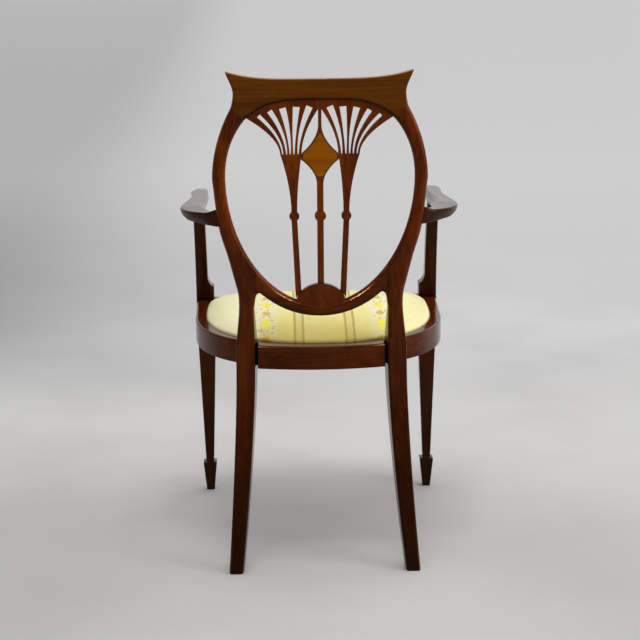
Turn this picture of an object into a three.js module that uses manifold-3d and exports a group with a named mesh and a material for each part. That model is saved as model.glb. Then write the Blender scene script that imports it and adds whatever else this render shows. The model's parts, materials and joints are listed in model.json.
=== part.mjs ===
// Elbow chair with a pierced oval back, in mahogany, with a loose upholstered seat.
// Millimetres. +Z is up, the sitter faces -Y, and +X is the sitter's left.
// The origin is on the floor, under the middle of the chair's outer box.

import * as THREE from 'three';
import { mergeVertices } from 'three/addons/utils/BufferGeometryUtils.js';
import Module from 'manifold-3d';

const wasm = await Module();
wasm.setup();

// Fits between pieces
const jointGap = 0.3;
const overrun = 20;
const weldDistance = 0.0001;

// Seat frame, measured from the rear face of the rear rail
const seatHeight = 416;
const railHeight = 45;
const seatHalfWidth = 245.5;
const seatFrontSpread = 4;
const seatRearReach = 290;
const seatFrontReach = 176;
const rearRailBow = 16;
const frontRailBow = 20;
const sideSweepSet = 20;
const sideSweepPower = 2.4;

// Rebate round the loose seat
const sideShowWood = 21;
const rearShowWood = 29.5;
const frontShowWood = 21;
const rebateDepth = 16;
const rebateLedge = 12;
const rebateRearPower = 2.3;
const rebateFrontPower = 5;

// Rear legs, which run up into the stiles of the back
const legInnerX = 120;
const legWidth = 40;
const legDepth = 40;
const legProud = 6;
const legTurnShare = 0.125;
const turnEndShare = 0.67;
const rearFootWidth = 29.3;
const rearFootDepth = 26;
const rearFootX = 164.6;
const rearFootKick = 94;
const legSweepPower = 1.7;
const legSplayPower = 1.4;

// Front legs with their spade feet
const frontLegSize = 39;
const frontLegProud = 1;
const frontLegAnkle = 16.6;
const spadeSize = 28.7;
const spadeToe = 16.2;
const spadeHeight = 63;
const spadeShoulder = 1;

// Oval back, seen from behind
const backRakeSlope = 0.172;
const rakeBlend = 64;
const backGap = 79.5;
const ovalHalfWidth = 171;
const ovalLowerReach = 243;
const ovalUpperReach = 144;
const ovalLowerPower = 1.95;
const ovalUpperPower = 2.65;
const stileUpperPower = 2.1;
const stileWidth = 24.5;
const stileThickness = 22;
const stileFlare = 104;
const stileWaistX = 152.3;
const stileWaistRise = 87;
const stileSweepShares = [[0.78, 0.613], [0.447, 0.383], [0.201, 0.196]];
const stileKneeShare = 0.66;
const outerUpperReach = 249;
const outerUpperPower = 1.8;
const arcDepth = 24;
const arcOuterPower = 2.05;

// Crest rail
const crestShoulderX = 134;
const crestOuterX = 158;
const crestNeckX = 153.8;
const crestArchPower = 3.9;
const crestMiddleDepth = 38;
const crestHornX = 167.5;
const hornRise = 15;
const hornRisePower = 4;
const neckBelowHorn = 41;
const hornSweepShares = [[0.248, 0.39], [0.613, 0.67]];

// Splats
const splatThickness = 9;
const splatInset = 6;
const splatBand = 12.5;
const spindleHalf = 3;
const balusterHalf = 5.3;
const middleBalusterHalf = 5.9;
const sideBalusterX = 47.4;
const balusterLean = 5.9;
const roundelLevelRise = 171;
const sideRoundelRadius = 9.2;
const middleRoundelRadius = 10.4;
const roundelThickness = 11;
const fanNeckDrop = 100;
const fanNeckX = 52.2;
const fanNeckHalf = 19.1;
const fanOuterX = 131;
const fanStemPower = 1.8;
const fanRibPower = 1.85;
const slotWidth = 12.3;
const slotToe = 1.8;
const slotTopShares = [0.83, 0.675, 0.495, 0.3, 0.116];
const slotToeShares = [0.77, 0.4, 0.06, -0.29, -0.68];
const slotWidthShares = [0.58, 0.8, 1, 1, 1];
const diamondDrop = 103.5;
const diamondHalf = 36;
const diamondUpperReach = 58;
const diamondLowerReach = 52;
const veneerThickness = 0.8;
const veneerMargin = 3;
const veneerReachShare = 0.72;
const shoeHalfWidth = 47.5;
const shoeRise = 30;
const shoeThickness = 14;

// Arms, from their root on the stile to the scrolled front end
const armRootRise = 268;
const armFrontRise = 246;
const armRootTuck = 9.5;
const armOverhang = 14.5;
const armFrontOverhang = 14.7;
const armNoseDrop = 8.8;
const armThickness = 22;
const armOuterShares = [
  [0, 0], [0.257, 0.034], [0.473, 0.065], [0.703, 0.104], [0.892, 0.157], [1, 0.239],
  [0.959, 0.359], [0.858, 0.504], [0.804, 0.643], [0.838, 0.788], [0.885, 0.896], [0.865, 1],
];
const armInnerShares = [
  [0, 0.058], [0.095, 0.094], [0.216, 0.142], [0.297, 0.186], [0.351, 0.239], [0.385, 0.306],
  [0.399, 0.39], [0.399, 0.511], [0.388, 0.643], [0.385, 0.788], [0.425, 0.896], [0.56, 1],
];
const armTopShares = [1, 0.6, 0.5, 0.46, 0.44, 0.43, 0.35, 0.26, 0.17, 0.09, 0, 0];
const armNoseShares = [0, 0, 0, 0, 0, 0, 0, 0, 0, 0, 0, 1];
const armDepthShares = [1.6, 1.16, 1.05, 1, 1, 1.02, 1, 1, 1, 1, 1, 0.6];
const armUndercutShares = [0.1, 0.2, 0.26, 0.28, 0.26, 0.24, 0.22, 0.18, 0.12, 0.08, 0.06, 0.1];
const armInnerRidgeShares = [0.14, 0.14, 0.15, 0.17, 0.2, 0.23, 0.26, 0.26, 0.2, 0.13, 0.08, 0.06];
const armOuterRidgeShares = [0.97, 0.97, 0.97, 0.97, 0.97, 0.97, 0.97, 0.97, 0.96, 0.9, 0.66, 0.4];
const armFallShares = [0, 0, 0, 0, 0, 0, 0, 0, 0.02, 0.08, 0.16, 0.2];

// Arm supports
const supportWidth = 24.5;
const supportTopWidth = 22.3;
const supportFootDepth = 33;
const supportTopDepth = 26;
const supportSweep = 72;
const supportSweepPower = 1.8;
const supportEarReach = 12.2;
const supportEarHeight = 29.5;
const supportEarFlare = 21;

// Corner blocks and their screws
const blockWidth = 86;
const blockDepth = 24;
const blockHeight = 24;
const screwSpacing = 26;
const screwLength = 38;
const screwShank = 2;
const screwHead = 4;
const screwHeadDepth = 3;

// Loose seat
const seatClearance = 1;
const coverThickness = 2.7;
const looseRailWidth = 45;
const looseRailHeight = 18;
const looseSideReach = 91;
const strapWidth = 50;
const strapThickness = 1.2;
const strapTuck = 26;
const strapSpacing = 84;
const hessianThickness = 0.8;
const hessianTuck = 14;
const coverHang = 13.5;
const cushionEdge = 3.5;
const cushionCrown = 32;
const cushionPower = 2.5;
const cushionFullness = 0.75;

// Levels and places that follow from these sizes
const railBottom = seatHeight - railHeight;
const legRearY = -rearRailBow + legProud;
const legFrontY = legRearY - legDepth;
const legOuterX = legInnerX + legWidth;
const ovalBottom = seatHeight + backGap;
const ovalWidest = ovalBottom + ovalLowerReach;
const archTop = ovalWidest + ovalUpperReach;
const crestTop = archTop + crestMiddleDepth;
const hornTip = crestTop + hornRise;
const frontLegX = seatHalfWidth + seatFrontSpread - frontLegSize / 2;
const frontFaceReach = seatRearReach + seatFrontReach - frontRailBow;
const frontLegY = -frontFaceReach - frontLegProud + frontLegSize / 2;
const rearReach = legRearY + rearFootKick;
const frontReach = seatRearReach + seatFrontReach;
const armRootTop = seatHeight + armRootRise;
const armFrontTop = seatHeight + armFrontRise;
const armRootX = ovalHalfWidth + stileWidth - armRootTuck;
const armSpread = seatHalfWidth + armOverhang - armRootX;
const supportRearY = frontLegY - frontLegSize / 2 + supportFootDepth;
const supportTopZ = armFrontTop - armThickness / 2;
const armFrontY = supportRearY + supportSweep - supportTopDepth - armFrontOverhang;
const looseRailCut = seatHalfWidth - sideShowWood - looseSideReach;

// Finishes
const mahogany = () => new THREE.MeshStandardMaterial({ color: 0x4a2210, roughness: 0.32, metalness: 0 });
const paleMahogany = () => new THREE.MeshStandardMaterial({ color: 0x5a3312, roughness: 0.3, metalness: 0 });
const satinwood = () => new THREE.MeshStandardMaterial({ color: 0x96501a, roughness: 0.3, metalness: 0 });
const beech = () => new THREE.MeshStandardMaterial({ color: 0xb58a5c, roughness: 0.7, metalness: 0 });
const jute = () => new THREE.MeshStandardMaterial({ color: 0xa88b63, roughness: 0.95, metalness: 0 });
const silk = () => new THREE.MeshStandardMaterial({ color: 0xd8d28c, roughness: 0.75, metalness: 0 });
const steel = () => new THREE.MeshStandardMaterial({ color: 0x8c8c8a, roughness: 0.4, metalness: 1 });

const chair = new THREE.Group();
chair.position.y = (frontReach - rearReach) / 2;

function addPart(name, geometry, material) {
  const mesh = new THREE.Mesh(geometry, material);
  mesh.name = name;
  chair.add(mesh);
}

function mirrored(geometry) {
  const copy = geometry.index ? geometry.clone() : mergeVertices(geometry, weldDistance);
  copy.scale(-1, 1, 1);
  const index = copy.index.array;
  for (let corner = 0; corner < index.length; corner += 3) {
    const first = index[corner];
    index[corner] = index[corner + 1];
    index[corner + 1] = first;
  }
  copy.computeVertexNormals();
  return copy;
}

function addPair(name, geometry, makeMaterial) {
  addPart(`${name}_left`, geometry, makeMaterial());
  addPart(`${name}_right`, mirrored(geometry), makeMaterial());
}

// Closed solids for cutting and joining
function toSolid(geometry) {
  const bare = geometry.clone();
  bare.deleteAttribute('normal');
  bare.deleteAttribute('uv');
  const merged = mergeVertices(bare, weldDistance);
  return new wasm.Manifold(new wasm.Mesh({
    numProp: 3,
    vertProperties: new Float32Array(merged.attributes.position.array),
    triVerts: new Uint32Array(merged.index.array),
  }));
}

function toGeometry(solid) {
  const mesh = solid.getMesh();
  const geometry = new THREE.BufferGeometry();
  geometry.setAttribute('position', new THREE.BufferAttribute(mesh.vertProperties, 3));
  geometry.setIndex(new THREE.BufferAttribute(mesh.triVerts, 1));
  geometry.computeVertexNormals();
  return geometry;
}

// Prisms: upright on a plan, facing the back, or seen from the side
function extruded(outline, depth, holes) {
  const shape = new THREE.Shape(outline.map(([u, v]) => new THREE.Vector2(u, v)));
  shape.holes = holes.map((hole) => new THREE.Path(hole.map(([u, v]) => new THREE.Vector2(u, v))));
  return new THREE.ExtrudeGeometry(shape, { depth, bevelEnabled: false });
}

function standing(outline, bottom, top, holes = []) {
  return extruded(outline, top - bottom, holes).translate(0, 0, bottom);
}

function facing(outline, rear, thickness, holes = []) {
  return extruded(outline, thickness, holes).rotateX(Math.PI / 2).translate(0, rear, 0);
}

function sideways(outline, left, right) {
  const turn = new THREE.Matrix4().makeBasis(
    new THREE.Vector3(0, 1, 0),
    new THREE.Vector3(0, 0, 1),
    new THREE.Vector3(1, 0, 0),
  );
  return extruded(outline, right - left, []).applyMatrix4(turn).translate(left, 0, 0);
}

function boxBetween(low, high) {
  const size = high.map((value, axis) => value - low[axis]);
  const middle = high.map((value, axis) => (value + low[axis]) / 2);
  return new THREE.BoxGeometry(...size).translate(...middle);
}

// A closed body through rings of points, each ring with the same count
function lofted(rings) {
  const count = rings[0].length;
  const points = rings.flat();
  const faces = [];
  for (let ring = 0; ring < rings.length - 1; ring += 1) {
    for (let step = 0; step < count; step += 1) {
      const here = ring * count + step;
      const next = ring * count + ((step + 1) % count);
      faces.push(here, next, next + count, here, next + count, here + count);
    }
  }
  for (const [ring, forward] of [[0, false], [rings.length - 1, true]]) {
    const middle = new THREE.Vector3();
    rings[ring].forEach((point) => middle.addScaledVector(point, 1 / count));
    const hub = points.push(middle) - 1;
    for (let step = 0; step < count; step += 1) {
      const here = ring * count + step;
      const next = ring * count + ((step + 1) % count);
      faces.push(...(forward ? [here, next, hub] : [next, here, hub]));
    }
  }
  const geometry = new THREE.BufferGeometry().setFromPoints(points);
  geometry.setIndex(faces);
  geometry.computeVertexNormals();
  return geometry;
}

const ease = (share) => share * share * (3 - 2 * share);
const blend = (from, to, share) => from + (to - from) * share;
const steps = (count) => Array.from({ length: count + 1 }, (_, step) => step / count);

// Points of a rounded outline between two places across it, as a superellipse
function ovalArc(halfWidth, reach, power, fromAcross, toAcross, count) {
  const angleAt = (across) => Math.acos(Math.pow(across / halfWidth, power / 2));
  const from = angleAt(fromAcross);
  const to = angleAt(toAcross);
  return steps(count).map((share) => {
    const angle = blend(from, to, share);
    const across = halfWidth * Math.pow(Math.max(0, Math.cos(angle)), 2 / power);
    const along = reach * Math.pow(Math.max(0, Math.sin(angle)), 2 / power);
    return [across, along];
  });
}

const ovalRise = (across, halfWidth, reach, power) =>
  reach * Math.pow(1 - Math.pow(across / halfWidth, power), 1 / power);

// The rear face of the back leans away above the seat
function backY(level) {
  const rise = Math.max(0, level - seatHeight);
  const curved = Math.min(rise, rakeBlend);
  return legRearY + backRakeSlope * (rise - curved + (curved * curved) / (2 * rakeBlend));
}

// Pieces of the back are cut flat and then leaned with the stiles
function leaned(geometry) {
  const foot = legRearY - backRakeSlope * (seatHeight + rakeBlend / 2);
  const lean = new THREE.Matrix4().makeShear(0, 0, 0, 0, 0, backRakeSlope);
  return geometry.applyMatrix4(lean).translate(0, foot, 0);
}

// Rear leg and stile, whose inner face is turned a little to the rear
const stileInnerFootZ = ovalWidest - ovalRise(legInnerX, ovalHalfWidth, ovalLowerReach, ovalLowerPower);
const shoulderZ = ovalWidest + ovalRise(crestShoulderX, ovalHalfWidth, ovalUpperReach, ovalUpperPower);
const outerHalfWidth = ovalHalfWidth + stileWidth;
const crestOuterZ = ovalWidest + ovalRise(crestOuterX, outerHalfWidth, outerUpperReach, outerUpperPower);

function stileOuterPoints() {
  const upper = ovalArc(outerHalfWidth, outerUpperReach, outerUpperPower, crestOuterX, outerHalfWidth, 8)
    .map(([across, along]) => [across, ovalWidest + along]);
  const waistZ = seatHeight + stileWaistRise;
  const knee = [
    blend(stileWaistX, legOuterX, stileKneeShare),
    blend(waistZ, seatHeight, stileKneeShare * stileKneeShare + 1 - stileKneeShare),
  ];
  const sweep = new THREE.SplineCurve([
    [outerHalfWidth, ovalWidest],
    ...stileSweepShares.map(([out, up]) => [
      blend(stileWaistX, outerHalfWidth, out),
      blend(waistZ, ovalWidest, up),
    ]),
    [stileWaistX, waistZ],
    knee,
    [legOuterX, seatHeight],
  ].map(([x, z]) => new THREE.Vector2(x, z)));
  const lower = sweep.getPoints(26).slice(1).map((point) => [point.x, point.y]);
  return [...upper, ...lower];
}

const legSteps = 10;
const legSideX = (topX, footX, level) =>
  blend(topX, footX, Math.pow(1 - Math.min(1, level / railBottom), legSplayPower));
const legInnerAt = (level) => legSideX(legInnerX, rearFootX - rearFootWidth / 2, level);
const legRearAt = (level) =>
  legRearY + rearFootKick * Math.pow(1 - Math.min(1, level / railBottom), legSweepPower);
const legDepthAt = (level) => blend(rearFootDepth, legDepth, Math.min(1, level / railBottom));

// What the turn of the inner face takes off, up to the underside of the arc
function innerTurn() {
  const top = stileInnerFootZ - arcDepth;
  const legLevels = steps(legSteps).map((share) => railBottom * share);
  const levels = [...legLevels, blend(railBottom, top, turnEndShare), top];
  const rings = levels.map((level) => {
    const x = legInnerAt(level);
    const frontY = legRearAt(level) - legDepthAt(level);
    const rearY = backY(level) - legRearY + legRearAt(level) + overrun;
    const turn = level < top ? legTurnShare : 0;
    return [
      [x, frontY],
      [x + turn * (rearY - frontY), rearY],
      [x - overrun, rearY],
      [x - overrun, frontY],
    ].map(([across, along]) => new THREE.Vector3(across, along, level));
  });
  const below = rings[0].map((point) => point.clone().setZ(-overrun));
  return toSolid(lofted([below, ...rings]));
}

function rearLeg() {
  const outerFootX = rearFootX + rearFootWidth / 2;
  const shoulderReach = (shoulderZ - ovalWidest)
    / Math.pow(1 - Math.pow(crestShoulderX / ovalHalfWidth, stileUpperPower), 1 / stileUpperPower);
  const inner = [
    ...steps(legSteps).map((share) => [legInnerAt(railBottom * share), railBottom * share]),
    ...ovalArc(ovalHalfWidth, ovalLowerReach, ovalLowerPower, legInnerX, ovalHalfWidth, 12)
      .map(([across, along]) => [across, ovalWidest - along]),
    ...ovalArc(ovalHalfWidth, shoulderReach, stileUpperPower, ovalHalfWidth, crestShoulderX, 9).slice(1)
      .map(([across, along]) => [across, ovalWidest + along]),
  ];
  const outline = [
    ...inner,
    ...stileOuterPoints(),
    ...steps(legSteps).map((share) => {
      const level = railBottom * (1 - share);
      return [legSideX(legOuterX, outerFootX, level), level];
    }),
  ];
  const rearEdge = [];
  const frontEdge = [];
  for (const share of steps(legSteps)) {
    const level = railBottom * share;
    rearEdge.push([legRearAt(level), level]);
    frontEdge.push([legRearAt(level) - legDepthAt(level), level]);
  }
  for (const share of steps(8)) {
    const level = seatHeight + stileFlare * share;
    rearEdge.push([backY(level), level]);
    frontEdge.push([backY(level) - blend(legDepth, stileThickness, ease(share)), level]);
  }
  rearEdge.push([backY(hornTip), hornTip]);
  frontEdge.push([backY(hornTip) - stileThickness, hornTip]);
  const profile = [...rearEdge, ...frontEdge.reverse()];
  const seenFromBehind = toSolid(facing(outline, rearReach + overrun, rearReach - legFrontY + 3 * overrun));
  const seenFromSide = toSolid(sideways(profile, 0, seatHalfWidth));
  return toGeometry(seenFromBehind.intersect(seenFromSide).subtract(innerTurn()));
}

const rearLegGeometry = rearLeg();
addPair('rear_leg', rearLegGeometry, mahogany);

// Crest rail with its arch and horns
const archDrop = archTop - shoulderZ;
const archLevel = (across) =>
  archTop - archDrop * Math.pow(Math.abs(across) / crestShoulderX, crestArchPower);
const crestTopLevel = (across) =>
  crestTop + hornRise * Math.pow(Math.abs(across) / crestHornX, hornRisePower);

function crestOutline() {
  const shoulder = crestShoulderX - jointGap;
  const neckZ = hornTip - neckBelowHorn;
  const horn = new THREE.SplineCurve([
    [crestOuterX - jointGap, crestOuterZ],
    [crestNeckX, neckZ],
    ...hornSweepShares.map(([out, up]) => [
      blend(crestNeckX, crestHornX, out),
      blend(neckZ, hornTip, up),
    ]),
    [crestHornX, hornTip],
  ].map(([x, z]) => new THREE.Vector2(x, z)));
  const half = [
    ...steps(12).map((share) => [shoulder * share, archLevel(shoulder * share)]),
    ...horn.getPoints(12).map((point) => [point.x, point.y]),
    ...steps(12).slice(1, -1).map((share) => {
      const across = crestHornX * (1 - share);
      return [across, crestTopLevel(across)];
    }),
    [0, crestTop],
  ];
  const otherHalf = half.slice(1, -1).reverse().map(([across, level]) => [-across, level]);
  return [...half, ...otherHalf];
}

addPart('crest_rail', leaned(facing(crestOutline(), 0, stileThickness)), paleMahogany());

// Lower back rail, the bottom arc of the oval
function lowerArcOutline() {
  const end = legInnerX - jointGap;
  const topHalf = ovalArc(ovalHalfWidth, ovalLowerReach, ovalLowerPower, end, 0, 10)
    .map(([across, along]) => [across, ovalWidest - along]);
  const bottomHalf = ovalArc(outerHalfWidth, ovalLowerReach + arcDepth, arcOuterPower, 0, end, 10)
    .map(([across, along]) => [across, ovalWidest - along]);
  const right = [...topHalf, ...bottomHalf];
  const left = [...bottomHalf].reverse().slice(0, -1).map(([across, level]) => [-across, level]);
  const leftTop = [...topHalf].slice(0, -1).map(([across, level]) => [-across, level]);
  return [...right.slice(topHalf.length), ...topHalf, ...leftTop.reverse(), ...left];
}

addPart('lower_back_rail', leaned(facing(lowerArcOutline(), 0, stileThickness)), mahogany());

// Shoe on the arc, and the level of its rounded top
const arcTopLevel = (across) =>
  ovalWidest - ovalRise(Math.abs(across), ovalHalfWidth, ovalLowerReach, ovalLowerPower);
const shoeFoot = arcTopLevel(shoeHalfWidth);
const shoeRadius = (shoeHalfWidth * shoeHalfWidth + shoeRise * shoeRise) / (2 * shoeRise);
const shoeLevel = (across) =>
  shoeFoot + shoeRise - shoeRadius + Math.sqrt(shoeRadius * shoeRadius - across * across);

function shoeOutline() {
  const across = steps(16).map((share) => blend(-shoeHalfWidth, shoeHalfWidth, share));
  const top = across.map((x) => [x, shoeLevel(x) + jointGap]);
  const bottom = across.map((x) => [x, arcTopLevel(x) + jointGap]);
  return [...bottom.slice(1, -1), ...top.reverse()];
}

const shoeRear = -splatInset + (shoeThickness - splatThickness) / 2;
addPart('splat_shoe', leaned(facing(shoeOutline(), shoeRear, shoeThickness)), mahogany());

// Roundels and balusters
const roundelZ = ovalBottom + roundelLevelRise;
const balusterFootZ = (across) => shoeLevel(across) + 2 * jointGap;
const sideBalusterFootX = sideBalusterX - balusterLean;

function roundelArc(centreX, radius, half, fromAbove) {
  const opening = Math.asin(half / radius);
  return steps(8).map((share) => {
    const angle = blend(opening, Math.PI - opening, share);
    const side = fromAbove ? 1 : -1;
    return [centreX + side * radius * Math.sin(angle), roundelZ + side * radius * Math.cos(angle)];
  });
}

function roundelDisc(centreX, radius) {
  const disc = steps(20).slice(1).map((share) => [
    centreX + (radius - jointGap) * Math.cos(2 * Math.PI * share),
    roundelZ + (radius - jointGap) * Math.sin(2 * Math.PI * share),
  ]);
  return facing(disc, -splatInset + (roundelThickness - splatThickness) / 2, roundelThickness);
}

function withRoundel(outline, holes, centreX, radius) {
  const board = toSolid(facing(outline, -splatInset, splatThickness, holes));
  return leaned(toGeometry(board.add(toSolid(roundelDisc(centreX, radius)))));
}

// Side splat: a fan of ribs on a stem, a roundel and a baluster
const fanNeckZ = archTop - fanNeckDrop;

function fanEdge(neckX, topX, topZ, count) {
  return steps(count).map((share) => [
    neckX + (topX - neckX) * Math.pow(share, fanRibPower),
    blend(fanNeckZ, topZ, share),
  ]);
}

function stemEdge(side, count) {
  return steps(count).map((share) => {
    const level = blend(fanNeckZ, roundelZ + sideRoundelRadius, share);
    const rise = 1 - share;
    const centre = blend(sideBalusterX, fanNeckX, Math.pow(rise, fanStemPower));
    const half = blend(balusterHalf, fanNeckHalf, Math.pow(rise, fanStemPower));
    return [centre + side * half, level];
  });
}

function slotOutline(topShare, toeShare, widthShare) {
  const topX = blend(spindleHalf, fanOuterX, topShare);
  const centre = fanEdge(fanNeckX + toeShare * fanNeckHalf, topX, archLevel(topX) - splatBand, 9);
  const left = [];
  const right = [];
  centre.forEach(([x, z], place) => {
    const before = centre[Math.max(0, place - 1)];
    const after = centre[Math.min(centre.length - 1, place + 1)];
    const run = Math.hypot(after[0] - before[0], after[1] - before[1]);
    const half = blend(slotToe, slotWidth * widthShare, place / (centre.length - 1)) / 2;
    const normal = [(after[1] - before[1]) / run, -(after[0] - before[0]) / run];
    left.push([x - normal[0] * half, z - normal[1] * half]);
    right.push([x + normal[0] * half, z + normal[1] * half]);
  });
  return [...right, ...left.reverse()];
}

function fanSplat() {
  const outerTop = archLevel(fanOuterX) - jointGap;
  const innerX = spindleHalf + jointGap;
  const innerTop = archTop - jointGap;
  const innerRibTop = archTop - splatBand - balusterHalf;
  const outline = [
    ...fanEdge(fanNeckX + fanNeckHalf, fanOuterX, outerTop, 9).reverse(),
    ...stemEdge(1, 8).slice(1, -1),
    ...roundelArc(sideBalusterX, sideRoundelRadius, balusterHalf, true),
    [sideBalusterFootX + balusterHalf, balusterFootZ(sideBalusterFootX + balusterHalf)],
    [sideBalusterFootX, balusterFootZ(sideBalusterFootX)],
    [sideBalusterFootX - balusterHalf, balusterFootZ(sideBalusterFootX - balusterHalf)],
    ...roundelArc(sideBalusterX, sideRoundelRadius, balusterHalf, false),
    ...stemEdge(-1, 8).slice(1, -1).reverse(),
    ...fanEdge(fanNeckX - fanNeckHalf, innerX, innerRibTop, 9),
    [innerX, innerTop],
    ...steps(14).slice(1, -1).map((share) => {
      const across = blend(innerX, fanOuterX, share);
      return [across, archLevel(across) - jointGap];
    }),
  ];
  const slots = slotTopShares.map(
    (share, slot) => slotOutline(share, slotToeShares[slot], slotWidthShares[slot]),
  );
  return withRoundel(outline, slots, sideBalusterX, sideRoundelRadius);
}

addPair('fan_splat', fanSplat(), mahogany);

// Centre splat: spindle, concave diamond, roundel and baluster
const diamondZ = archTop - diamondDrop;

function diamondHalfAt(level, margin) {
  const above = level >= diamondZ;
  const reach = above ? diamondUpperReach : diamondLowerReach;
  const stem = above ? spindleHalf : middleBalusterHalf;
  const closeness = Math.max(0, 1 - Math.abs(level - diamondZ) / reach);
  const half = stem + diamondHalf * closeness * closeness - margin;
  return Math.min(half, stemLimit(level) - margin);
}

function stemLimit(level) {
  const rise = (level - roundelZ - sideRoundelRadius) / (fanNeckZ - roundelZ - sideRoundelRadius);
  const share = Math.pow(Math.min(1, Math.max(0, rise)), fanStemPower);
  return blend(sideBalusterX, fanNeckX, share) - blend(balusterHalf, fanNeckHalf, share) - jointGap;
}

function centreSplat() {
  const top = archTop - jointGap;
  const levels = [
    top,
    ...steps(10).map((share) => diamondZ + diamondUpperReach * (1 - share)),
    ...steps(9).slice(1).map((share) => diamondZ - diamondLowerReach * share),
  ];
  const right = [
    ...levels.map((level) => [diamondHalfAt(level, 0), level]),
    ...roundelArc(0, middleRoundelRadius, middleBalusterHalf, true),
    [middleBalusterHalf, balusterFootZ(middleBalusterHalf)],
  ];
  const left = right.map(([across, level]) => [-across, level]).reverse();
  return withRoundel([...right, [0, balusterFootZ(0)], ...left], [], 0, middleRoundelRadius);
}

addPart('centre_splat', centreSplat(), mahogany());

function veneer(rear) {
  const upper = diamondUpperReach * veneerReachShare;
  const lower = diamondLowerReach * veneerReachShare;
  const levels = [
    ...steps(8).map((share) => diamondZ + upper * (1 - share)),
    ...steps(8).slice(1).map((share) => diamondZ - lower * share),
  ];
  const right = levels.map((level) => [Math.max(diamondHalfAt(level, veneerMargin), spindleHalf / 2), level]);
  const left = right.map(([across, level]) => [-across, level]).reverse();
  return leaned(facing([...right, ...left], rear, veneerThickness));
}

addPart('diamond_veneer_rear', veneer(-splatInset + veneerThickness), satinwood());
addPart('diamond_veneer_front', veneer(-splatInset - splatThickness), satinwood());

// Arms
function armStations(count) {
  const curveOf = (pairs) => new THREE.SplineCurve(pairs.map(([u, v]) => new THREE.Vector2(u, v)));
  const outer = curveOf(armOuterShares).getPoints(count);
  const inner = curveOf(armInnerShares).getPoints(count);
  const heights = curveOf(armTopShares.map((share, station) => [share, armDepthShares[station]]))
    .getPoints(count);
  const undercuts = curveOf(armUndercutShares.map((share, station) => [share, armNoseShares[station]]))
    .getPoints(count);
  const ridges = curveOf(armInnerRidgeShares.map((share, station) => [share, armOuterRidgeShares[station]]))
    .getPoints(count);
  const falls = curveOf(armFallShares.map((share) => [share, 0])).getPoints(count);
  const rootY = backY((armRootTop + armFrontTop) / 2);
  const place = (point) => [armRootX + point.x * armSpread, blend(rootY, armFrontY, point.y)];
  return outer.map((point, station) => ({
    outer: place(point),
    inner: place(inner[station]),
    top: blend(armFrontTop, armRootTop, heights[station].x) - armNoseDrop * undercuts[station].y,
    depth: armThickness * heights[station].y,
    undercut: undercuts[station].x,
    innerRidge: ridges[station].x,
    outerRidge: ridges[station].y,
    fall: falls[station].x,
  }));
}

// Section of the arm: across from the inner to the outer edge, and up, as shares
function armSection({ outer, inner, top, depth, undercut, innerRidge, outerRidge, fall }) {
  const easedShare = 0.25;
  const sectionShares = [
    [0.1, 0], [1 - undercut, 0], [1 - undercut * easedShare, 0.45], [1, 0.85 - fall],
    [outerRidge, 1], [innerRidge, 1], [innerRidge * easedShare, 0.86], [0, 0.3],
  ];
  return sectionShares.map(([across, up]) => new THREE.Vector3(
    blend(inner[0], outer[0], across),
    blend(inner[1], outer[1], across),
    top - depth * (1 - up),
  ));
}

function clearOf(solid, geometry, shifts) {
  return shifts.reduce(
    (rest, shift) => rest.subtract(toSolid(geometry.clone().translate(...shift))),
    solid,
  );
}

function arm() {
  const rings = armStations(22).map(armSection);
  const root = rings[0].map((point) => point.clone().setX(armRootX - overrun / 2));
  const whole = toSolid(lofted([root, ...rings]));
  const shifts = [[jointGap, 0, 0], [jointGap, -jointGap, 0], [jointGap, jointGap, 0]];
  const cut = clearOf(whole, rearLegGeometry, shifts);
  const outside = toSolid(boxBetween(
    [armRootX - overrun / 3, -frontReach, railBottom],
    [seatHalfWidth + armSpread, rearReach, hornTip],
  ));
  return toGeometry(cut.intersect(outside));
}

const armGeometry = arm();
addPair('arm', armGeometry, mahogany);

// Arm supports, swept back from the seat to the arm, with an ear on the inner side
function armSupport() {
  const rear = [];
  const front = [];
  for (const share of steps(12)) {
    const level = blend(seatHeight + jointGap, supportTopZ, share);
    const back = supportRearY + supportSweep * Math.pow(share, supportSweepPower);
    rear.push([back, level]);
    front.push([back - blend(supportFootDepth, supportTopDepth, ease(share)), level]);
  }
  const outerX = frontLegX + frontLegSize / 2;
  const innerX = outerX - supportWidth;
  const earTop = seatHeight + supportEarHeight;
  const earX = innerX - supportEarReach;
  const faceOutline = [
    [earX, seatHeight],
    [outerX, seatHeight],
    [outerX, armRootTop],
    [outerX - supportTopWidth, armRootTop],
    ...steps(6).map((share) => [
      earX + supportEarReach * Math.cos((share * Math.PI) / 2),
      earTop + supportEarFlare * (1 - Math.sin((share * Math.PI) / 2)),
    ]),
  ];
  const blank = toSolid(sideways([...rear, ...front.reverse()], earX - overrun, outerX + overrun));
  const face = toSolid(facing(faceOutline, 0, frontReach + overrun));
  const shaped = blank.intersect(face);
  return toGeometry(clearOf(shaped, armGeometry, [[0, 0, -jointGap]]));
}

addPair('arm_support', armSupport(), mahogany);

// Front legs with spade feet
function squareRing(size, level) {
  const half = size / 2;
  const corners = [[-half, -half], [half, -half], [half, half], [-half, half]];
  return corners.map(([x, y]) => new THREE.Vector3(frontLegX + x, frontLegY + y, level));
}

const frontLeg = lofted([
  squareRing(spadeToe, 0),
  squareRing(spadeSize, spadeHeight),
  squareRing(frontLegAnkle, spadeHeight + spadeShoulder),
  squareRing(frontLegSize, railBottom),
  squareRing(frontLegSize, seatHeight),
]);
addPair('front_leg', mergeVertices(frontLeg, weldDistance), mahogany);

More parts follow.
